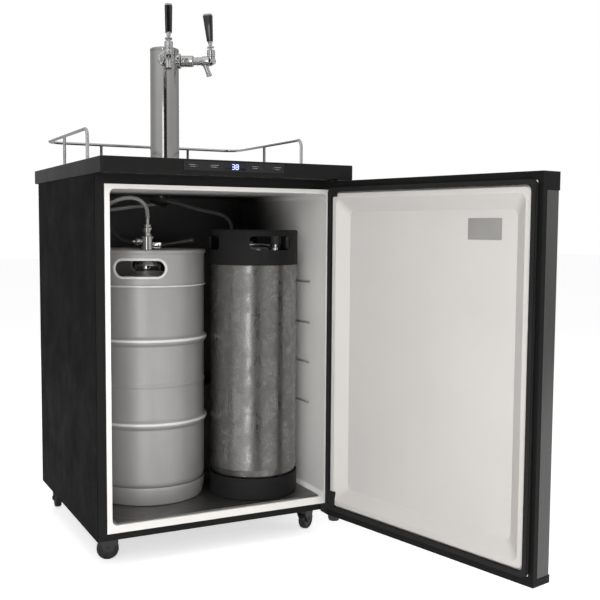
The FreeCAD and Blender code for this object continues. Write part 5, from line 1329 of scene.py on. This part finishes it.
# ---------------------------------------------------------------- door
@dataclass
class Door(Assembly):
    """Open door: steel front, black frame, dished white liner and gasket."""

    body = Body.DOOR.value
    left: float = -0.2764
    right: float = 0.2816
    low: float = 0.1027
    high: float = 0.8395
    flange_y: float = 0.053
    flange: float = 0.008
    rise: float = 0.005
    draft: float = 0.004
    rim: float = 0.011
    slope: float = 0.03
    dish: float = 0.018
    corner: float = 0.014
    level: float = 0.008
    plate_low: Point = (-0.194, 0.0397, 0.735)
    plate_high: Point = (-0.1093, 0.0404, 0.778)
    back_cap: float = 0.0015
    gasket_x: Pair = (0.262, 0.2896)
    gasket_thick: float = 0.0085
    gasket_ends: tuple[tuple[str, float, float], ...] = (("low", 0.0985, 0.138), ("high", 0.828, 0.846))

    def build(self) -> None:
        """Builds the door."""
        self.copy("door_frame", FRAME_PLASTIC, "black_plastic", 0.0014)
        self.copy("door_skin", SHEET_STEEL, "stainless", 0.0003)
        self.copy("door_gasket", GASKET_BLACK, "black_gasket", 0.0012)
        redress(FOAM, "door_foam")
        opened = Matrix.Translation(HINGE) @ turned(DOOR_ANGLE) @ Matrix.Translation(-HINGE)
        liner = self.put(moved(self.liner(), opened), "door_liner_dress", DOOR_WHITE, "white_liner",
                         "door_liner")
        eased(liner, 0.0026, 4, 12.0)
        near, far = self.gasket_x
        for end, low, high in self.gasket_ends:
            corner = block((near, self.flange_y, low), (far, self.flange_y + self.gasket_thick, high), 0.0015,
                           Axis.Y, 0.0008)
            self.put(moved(corner, opened), f"gasket_corner_{end}", GASKET_BLACK, "black_gasket")
        plate = block(self.plate_low, self.plate_high, 0.0015, Axis.Y, 0.0001)
        self.put(moved(plate, opened), "bare_plate", BARE_LABEL, "white_liner")

    def liner(self) -> Mesh:
        """Formed liner of the shut door: flange, raised rim and dished middle.

        Returns:
            The liner's mesh.
        """
        bm = bmesh.new()
        top = self.flange_y + self.rise
        rim = self.draft + self.rim
        slope = rim + self.slope
        bottom = top - self.dish
        loops = []
        for inset, depth, corner in (
                (-self.flange, bottom - self.back_cap, 0.002), (-self.flange, self.flange_y, 0.002),
                (0.0, self.flange_y, self.corner), (self.draft, top, self.corner), (rim, top, self.corner),
                (slope, bottom, self.corner), (slope + self.level, bottom, self.corner)):
            loops.append(rounded_loop(bm, (self.left + inset, self.low + inset),
                                      (self.right - inset, self.high - inset), depth, corner))
        for near, far in zip(loops, loops[1:]):
            bmesh.ops.bridge_loops(bm, edges=near + far)
        for loop in (loops[0], loops[-1]):
            bmesh.ops.contextual_create(bm, geom=loop)
        bmesh.ops.recalc_face_normals(bm, faces=bm.faces[:])
        return bm


class HingeSet(Assembly):
    """Hinge plates."""

    def build(self) -> None:
        """Dresses both plates."""
        for end in ("top", "bottom"):
            self.copy(f"hinge_bracket_{end}", CASTER_PAINT, "black_paint", 0.0006)


# ---------------------------------------------------------------- casters
@dataclass
class Caster:
    """One swivel caster."""

    corner: str
    place_at: Pair
    heading: float
    trail: float = 0.014
    radius: float = 0.025
    half: float = 0.009

    def build(self) -> None:
        """Dresses fork, wheel and brake."""
        recast(f"caster_fork_{self.corner}", CASTER_PAINT, f"fork_{self.corner}", "black_paint", 0.0004)
        stem = shift(*self.place_at, 0) @ turned(self.heading)
        axle = stem @ shift(self.trail, 0, self.radius) @ turned(90, "X")
        place(moved(self.wheel(), axle), f"caster_tyre_{self.corner}", WHEEL_NYLON, f"wheel_{self.corner}",
              "wheel_plastic", f"caster_wheel_{self.corner}")
        if self.corner in ("fl", "fr"):
            recast(f"caster_brake_{self.corner}", CASTER_PAINT, f"brake_{self.corner}", "black_paint", 0.0003)

    def wheel(self) -> Mesh:
        """Wheel with a dished web and a rounded tread, about the origin.

        Returns:
            The wheel's mesh.
        """
        r, h = self.radius, self.half
        side = [(0.0031, h), (0.009, h, 0.0006), (0.0084, h - 0.002, 0.0006), (r - 0.0065, h - 0.002, 0.0008),
                (r - 0.006, h, 0.0005), (r - 0.003, h, 0.001), (r, h - 0.003, 0.0018)]
        far_side = [(radius, -height, *corner) for radius, height, *corner in reversed(side)]
        return lathe(side + far_side + side[:1], 64, 3)


# ---------------------------------------------------------------- kegs
@dataclass
class SteelKeg(Assembly):
    """Ribbed steel keg with its chimes."""

    x: float = -0.1103
    y: float = 0.2804
    z: float = 0.105
    radius: float = 0.135
    hoop: float = 0.1413
    chime: float = 0.1365
    toe: float = 0.1295
    wall: float = 0.003
    curl: float = 0.005
    weld: float = 0.5145
    top: float = 0.5985
    hole_bearing: float = -26.0
    hole_half: float = 0.0595
    hole_middle: float = 0.5555
    hole_rise: float = 0.021
    hole_round: float = 0.95
    hoop_heights: Pair = (0.1915, 0.3865)
    ring_height: float = 0.283
    steps: int = 160

    def build(self) -> None:
        """Builds the keg."""
        here = shift(self.x, self.y, self.z)
        self.put(moved(self.shell(), here), "keg_barrel", KEG_STEEL, "keg_steel", "keg_shell")
        chimes = joined(self.top_chime(), self.foot_chime())
        self.put(moved(chimes, here), "keg_rims", KEG_STEEL, "keg_steel", "keg_chimes")
        # Painted highlight: pale bands on the rims, weld and hoop crests.
        self.put(moved(self.painted_highlights(), here), "keg_bright_edges", HIGHLIGHT_STEEL, "keg_steel")

    def painted_highlights(self) -> Mesh:
        """Painted highlight: pale bands on the hole rims, the weld ring and each hoop's crest.

        Returns:
            The highlight bands' mesh.
        """
        bands = [(self.chime + 0.0006, self.weld, 0.002)]
        # Each hoop gets a pale band just above its crest, where the painted highlight falls.
        bands += [(self.hoop - 0.005, height + 0.0014, 0.0056) for height in self.hoop_heights]
        parts = [self.hole_rims()]
        for reach, height, thick in bands:
            turns = [step * math.tau / self.steps for step in range(self.steps)]
            line = [(reach * math.cos(turn), reach * math.sin(turn), height) for turn in turns]
            parts.append(tube(line, thick, 16, closed=True))
        return joined(*parts)

    def shell(self) -> Mesh:
        """Barrel with two hoops, a middle ring and the valve neck.

        Returns:
            The barrel's mesh.
        """
        r = self.radius
        low, high = self.hoop_heights
        profile = [(0, 0.014), (r - 0.035, 0.014, 0.01), (r, 0.044, 0.012)]
        for height, half, out, corner in ((low, 0.0095, self.hoop, 0.0032),
                                          (self.ring_height, 0.004, 0.1366, 0.0008),
                                          (high, 0.0095, self.hoop, 0.0032)):
            profile += [(r, height - half * 1.25, 0.002), (out, height - half * 0.5, corner),
                        (out, height + half * 0.5, corner), (r, height + half * 1.25, 0.002)]
        profile += [(r, 0.5245, 0.006), (0.033, 0.532, 0.004), (0.033, 0.545, 0.002), (0, 0.545)]
        return lathe(profile, self.steps, 5)

    def top_chime(self) -> Mesh:
        """Top chime with its rolled rim and two handle holes.

        Returns:
            The chime's mesh.
        """
        r, low, top, curl = self.chime, self.weld, self.top, self.curl
        foot, inner = self.radius + 0.0003, r - self.wall
        wall = lathe([(foot, low - 0.002), (foot + 0.0023, low - 0.002, 0.0008),
                      (foot + 0.0026, low + 0.0025, 0.0014), (r, low + 0.004, 0.0006), (r, top - 0.005),
                      (inner, top - 0.005), (inner, low + 0.014, 0.003), (foot, low + 0.008),
                      (foot, low - 0.002)], self.steps, 4)
        near, far = r - self.wall / 2 - curl, r - self.wall / 2 + curl
        bead = lathe([(near, top - curl, 0.0035), (near, top - 2 * curl, 0.004), (far, top - 2 * curl, 0.004),
                      (far, top, 0.0046), (near, top, 0.0046), (near, top - curl)], self.steps, 6)
        half, middle, rise = self.hole_half, self.hole_middle, self.hole_rise
        cutter = block((-half, -0.3, middle - rise), (half, 0.3, middle + rise), rise * self.hole_round,
                       Axis.Y, segments=12)
        return joined(carve(wall, moved(cutter, turned(self.hole_bearing))), bead)

    def hole_rims(self) -> Mesh:
        """Rolled edges of both handle holes.

        Returns:
            The edges' mesh.
        """
        corner = self.hole_rise * self.hole_round
        half, rise = self.hole_half - corner, self.hole_rise - corner
        outline = []
        for cx, cz, start in ((half, rise, 0), (-half, rise, 90), (-half, -rise, 180), (half, -rise, 270)):
            for step in range(9):
                angle = math.radians(start + step * 11.25)
                outline.append((cx + corner * math.cos(angle), cz + corner * math.sin(angle)))
        mid = self.chime - self.wall / 2
        parts = []
        for sign in (-1, 1):
            line = [(x, sign * math.sqrt(mid**2 - x**2), self.hole_middle + z)
                    for x, z in self.filled(outline)]
            parts.append(moved(tube(line, 0.0032, 12, closed=True), turned(self.hole_bearing)))
        return joined(*parts)

    @staticmethod
    def filled(outline: list[Pair], gap: float = 0.008) -> list[Pair]:
        """Adds points to the long straight runs of a closed outline.

        Args:
            outline: Points of the outline.
            gap: Longest run to leave.

        Returns:
            The outline with its runs divided.
        """
        result = []
        for here, ahead in zip(outline, outline[1:] + outline[:1]):
            steps = max(1, math.ceil(math.dist(here, ahead) / gap))
            for step in range(steps):
                share = step / steps
                result.append(tuple(a + (b - a) * share for a, b in zip(here, ahead)))
        return result

    def foot_chime(self) -> Mesh:
        """Bottom chime, flush with the barrel and drawn in at the foot.

        Returns:
            The chime's mesh.
        """
        inner, toe = self.radius + 0.0003, self.toe
        r, lip = inner + 0.0005, toe - 0.0053
        return lathe([(lip, 0, 0.001), (toe, 0, 0.004), (r, 0.03, 0.02), (r, 0.042, 0.001),
                      (inner + 0.0002, 0.044), (inner, 0.044), (inner, 0.04), (toe - 0.0033, 0.008),
                      (lip, 0.008), (lip, 0)], self.steps, 4)


@dataclass
class KegCoupler(Assembly):
    """Coupler on the steel keg with its gas port and lever."""

    x: float = -0.1103
    y: float = 0.2804
    z: float = 0.65
    bearing: float = 60.0
    lever_height: float = 0.062
    reach: float = 0.03

    def build(self) -> None:
        """Builds the coupler."""
        here = shift(self.x, self.y, self.z)
        yoke = here @ turned(self.bearing - 90)
        cast = joined(moved(self.tower(), here), moved(self.ears(), yoke))
        self.put(cast, "coupler_cast", CHROME, "chrome", "coupler_body")
        place(moved(self.handle(), yoke), "coupler_lever_dress", BUTTON_PLASTIC, Body.COUPLER.value,
              "black_plastic", "coupler_handle")

    def tower(self) -> Mesh:
        """Turned body with its skirt, grooves, beer outlet and gas port.

        Returns:
            The mesh, about the foot of its axis.
        """
        profile = [(0, 0), (0.031, 0, 0.001), (0.031, 0.0144, 0.002), (0.021, 0.024, 0.002),
                   (0.017, 0.027, 0.001)]
        for turn in range(3):
            start = 0.034 + 0.0045 * turn
            profile += [(0.017, start), (0.0158, start + 0.0006), (0.0158, start + 0.0018),
                        (0.017, start + 0.0024)]
        profile += [(0.017, 0.084, 0.0015), (0.01, 0.084, 0.001), (0.01, 0.092), (0.0125, 0.0925, 0.0004),
                    (0.0125, 0.104, 0.0008), (0.01, 0.1055), (0.01, 0.112, 0.0008), (0.0055, 0.112)]
        for turn in range(3):
            start = 0.1145 + 0.0055 * turn
            profile += [(0.0052, start), (0.006, start + 0.0004), (0.0052, start + 0.0045)]
        profile += [(0.0052, 0.131), (0, 0.131)]
        port = lathe([(0, 0), (0.008, 0), (0.008, 0.02, 0.0005), (0.0095, 0.0204, 0.0004),
                      (0.0095, 0.03, 0.0008), (0.0062, 0.0312), (0.0046, 0.032), (0.0046, 0.038),
                      (0, 0.038)], 36)
        port = moved(port, shift(0, 0, 0.07) @ turned(-90, "Y"))
        return joined(lathe(profile, 64, 3), port)

    def ears(self) -> Mesh:
        """Both ears and the pin of the lever, about the coupler's axis.

        Returns:
            The ears' mesh.
        """
        z = self.lever_height
        parts = []
        for y0 in (-0.0105, 0.0065):
            parts.append(block((0, y0, z - 0.007), (self.reach + 0.006, y0 + 0.004, z + 0.007), 0.005, Axis.Y,
                               0.0006))
        pin = lathe([(0, -0.0112), (0.0035, -0.0112, 0.0006), (0.0035, 0.0112, 0.0006), (0, 0.0112)], 24)
        return joined(*parts, moved(pin, shift(self.reach, 0, z) @ turned(90, "X")))

    def handle(self) -> Mesh:
        """Lever with its hub and rounded end, about the coupler's axis.

        Returns:
            The lever's mesh.
        """
        hub = lathe([(0.0026, -0.0062), (0.007, -0.0062, 0.0008), (0.007, 0.0062, 0.0008), (0.0026, 0.0062),
                     (0.0026, -0.0062)], 32)
        pivot = shift(self.reach, 0, self.lever_height)
        along = Vector((0.078, 0, 0.012))
        long = along.length
        bar = lathe([(0, 0.004), (0.0048, 0.004, 0.002), (0.0042, long * 0.45, 0.004),
                     (0.005, long * 0.7, 0.004), (0.0064, long - 0.002, 0.004), (0.005, long + 0.0055, 0.003),
                     (0, long + 0.0062)], 32, 5)
        return joined(moved(hub, pivot @ turned(90, "X")), moved(bar, pivot @ facing(along)))


@dataclass
class SodaKeg(Assembly):
    """Straight steel tank with rubber boots, lid and posts."""

    x: float = 0.1295
    y: float = 0.189
    z: float = 0.105
    radius: float = 0.1055
    shoulder: float = 0.5765
    dome: float = 0.0195
    post_places: tuple[Pair, ...] = ((-0.0410122, 0.0410122), (0.0410122, -0.0410122))
    bail_line: tuple[Point, ...] = (
        (-0.046, 0, 0.0085), (-0.04, 0, 0.0105), (-0.03, 0, 0.012), (-0.012, 0, 0.0128), (0.012, 0, 0.0128),
        (0.03, 0, 0.012), (0.04, 0, 0.0105), (0.046, 0, 0.0085))

    def build(self) -> None:
        """Builds the tank and what stands on it."""
        here = shift(self.x, self.y, self.z)
        self.put(moved(self.tank(), here), "soda_tank", TANK_STEEL, "keg_steel", "corny_tank")
        for end in ("top", "bottom"):
            self.copy(f"corny_{end}_boot", BLACK_RUBBER, "black_rubber", 0.0012)
        crown = here @ shift(0, 0, self.shoulder + self.dome)
        self.put(moved(self.lid(), crown), "soda_lid", TANK_STEEL, "keg_steel", "corny_fittings")
        self.put(moved(self.bail(), crown), "lid_bail", CHROME, "keg_steel")
        spots = [crown @ shift(x, y, 0) for x, y in self.post_places]
        self.put(joined(*(moved(self.post(), spot) for spot in spots)), "tank_posts", CHROME, "keg_steel")
        self.put(joined(*(moved(self.disconnect(), spot) for spot in spots)), "quick_disconnects",
                 FITTING_PLASTIC, "black_plastic")

    def tank(self) -> Mesh:
        """Tank wall with a seam bead above its lower dome.

        Returns:
            The mesh, about the foot of its axis.
        """
        r, top = self.radius, self.shoulder + self.dome
        return lathe([(0, 0.01), (r * 0.7, 0.01, 0.006), (r, 0.044, 0.028), (r, 0.07), (r + 0.0004, 0.071),
                      (r + 0.0004, 0.0725), (r, 0.0735), (r, self.shoulder - 0.03),
                      (r, self.shoulder, 0.016), (r * 0.6, top, 0.012), (0, top)], 144, 6)

    def lid(self) -> Mesh:
        """Domed lid with its relief valve.

        Returns:
            The mesh, about the foot of its axis.
        """
        plate = lathe([(0, -0.002), (0.038, -0.002), (0.038, 0.004, 0.0015), (0.03, 0.008, 0.003),
                       (0, 0.0085)], 64, 4)
        valve = lathe([(0, 0.006), (0.006, 0.006), (0.006, 0.014, 0.0006), (0.0045, 0.015), (0.0045, 0.017),
                       (0.006, 0.0175, 0.0005), (0.006, 0.021, 0.001), (0, 0.021)], 32)
        return joined(plate, moved(valve, shift(0, 0.018, 0)))

    def bail(self) -> Mesh:
        """Bent wire bail of the lid."""
        return tube(self.bail_line, 0.003, 12)

    def post(self) -> Mesh:
        """Threaded post with a hexagon foot.

        Returns:
            The mesh, about the foot of its axis.
        """
        post = lathe([(0, -0.004), (0.0098, -0.004), (0.0098, 0.0075, 0.0005), (0.0088, 0.008),
                      (0.0088, 0.016, 0.0005), (0, 0.0165)], 32)
        return joined(post, hexagon(0.011, 0.008, 0.001))

    def disconnect(self) -> Mesh:
        """Quick disconnect with its grip rings.

        Returns:
            The mesh, about the axis of its post.
        """
        profile = [(0, 0.015), (0.0125, 0.015, 0.0008), (0.0125, 0.0225, 0.0006)]
        for turn in range(3):
            start = 0.023 + 0.0034 * turn
            profile += [(0.0116, start + 0.0004), (0.0116, start + 0.0014), (0.0125, start + 0.0018, 0.0003),
                        (0.0125, start + 0.003, 0.0003)]
        profile += [(0.012, 0.0385, 0.0025), (0.007, 0.042, 0.002), (0, 0.042)]
        return lathe(profile, 40, 3)


def main() -> None:
    """Builds every sub-assembly in order and reports each one."""
    logging.basicConfig(level=logging.INFO, format="%(name)s: %(message)s")
    places = ((-0.266, 0.15), (0.266, 0.15), (-0.266, 0.585), (0.266, 0.585))
    headings = (-15.0, -144.6, 82.0, 97.0)
    casters = (Caster(*caster) for caster in zip(("fl", "fr", "rl", "rr"), places, headings))
    for assembly in (Studio(), Hoses(), Cabinet(), ControlPanel(), CounterFittings(), DraftTower(), Door(),
                     HingeSet(), *casters, SteelKeg(), KegCoupler(), SodaKeg()):
        assembly.build()
        LOG.info("%s is ready", type(assembly).__name__)
    redress(CASTER_PAINT, "caster_plates")


if __name__ == "__main__":
    main()
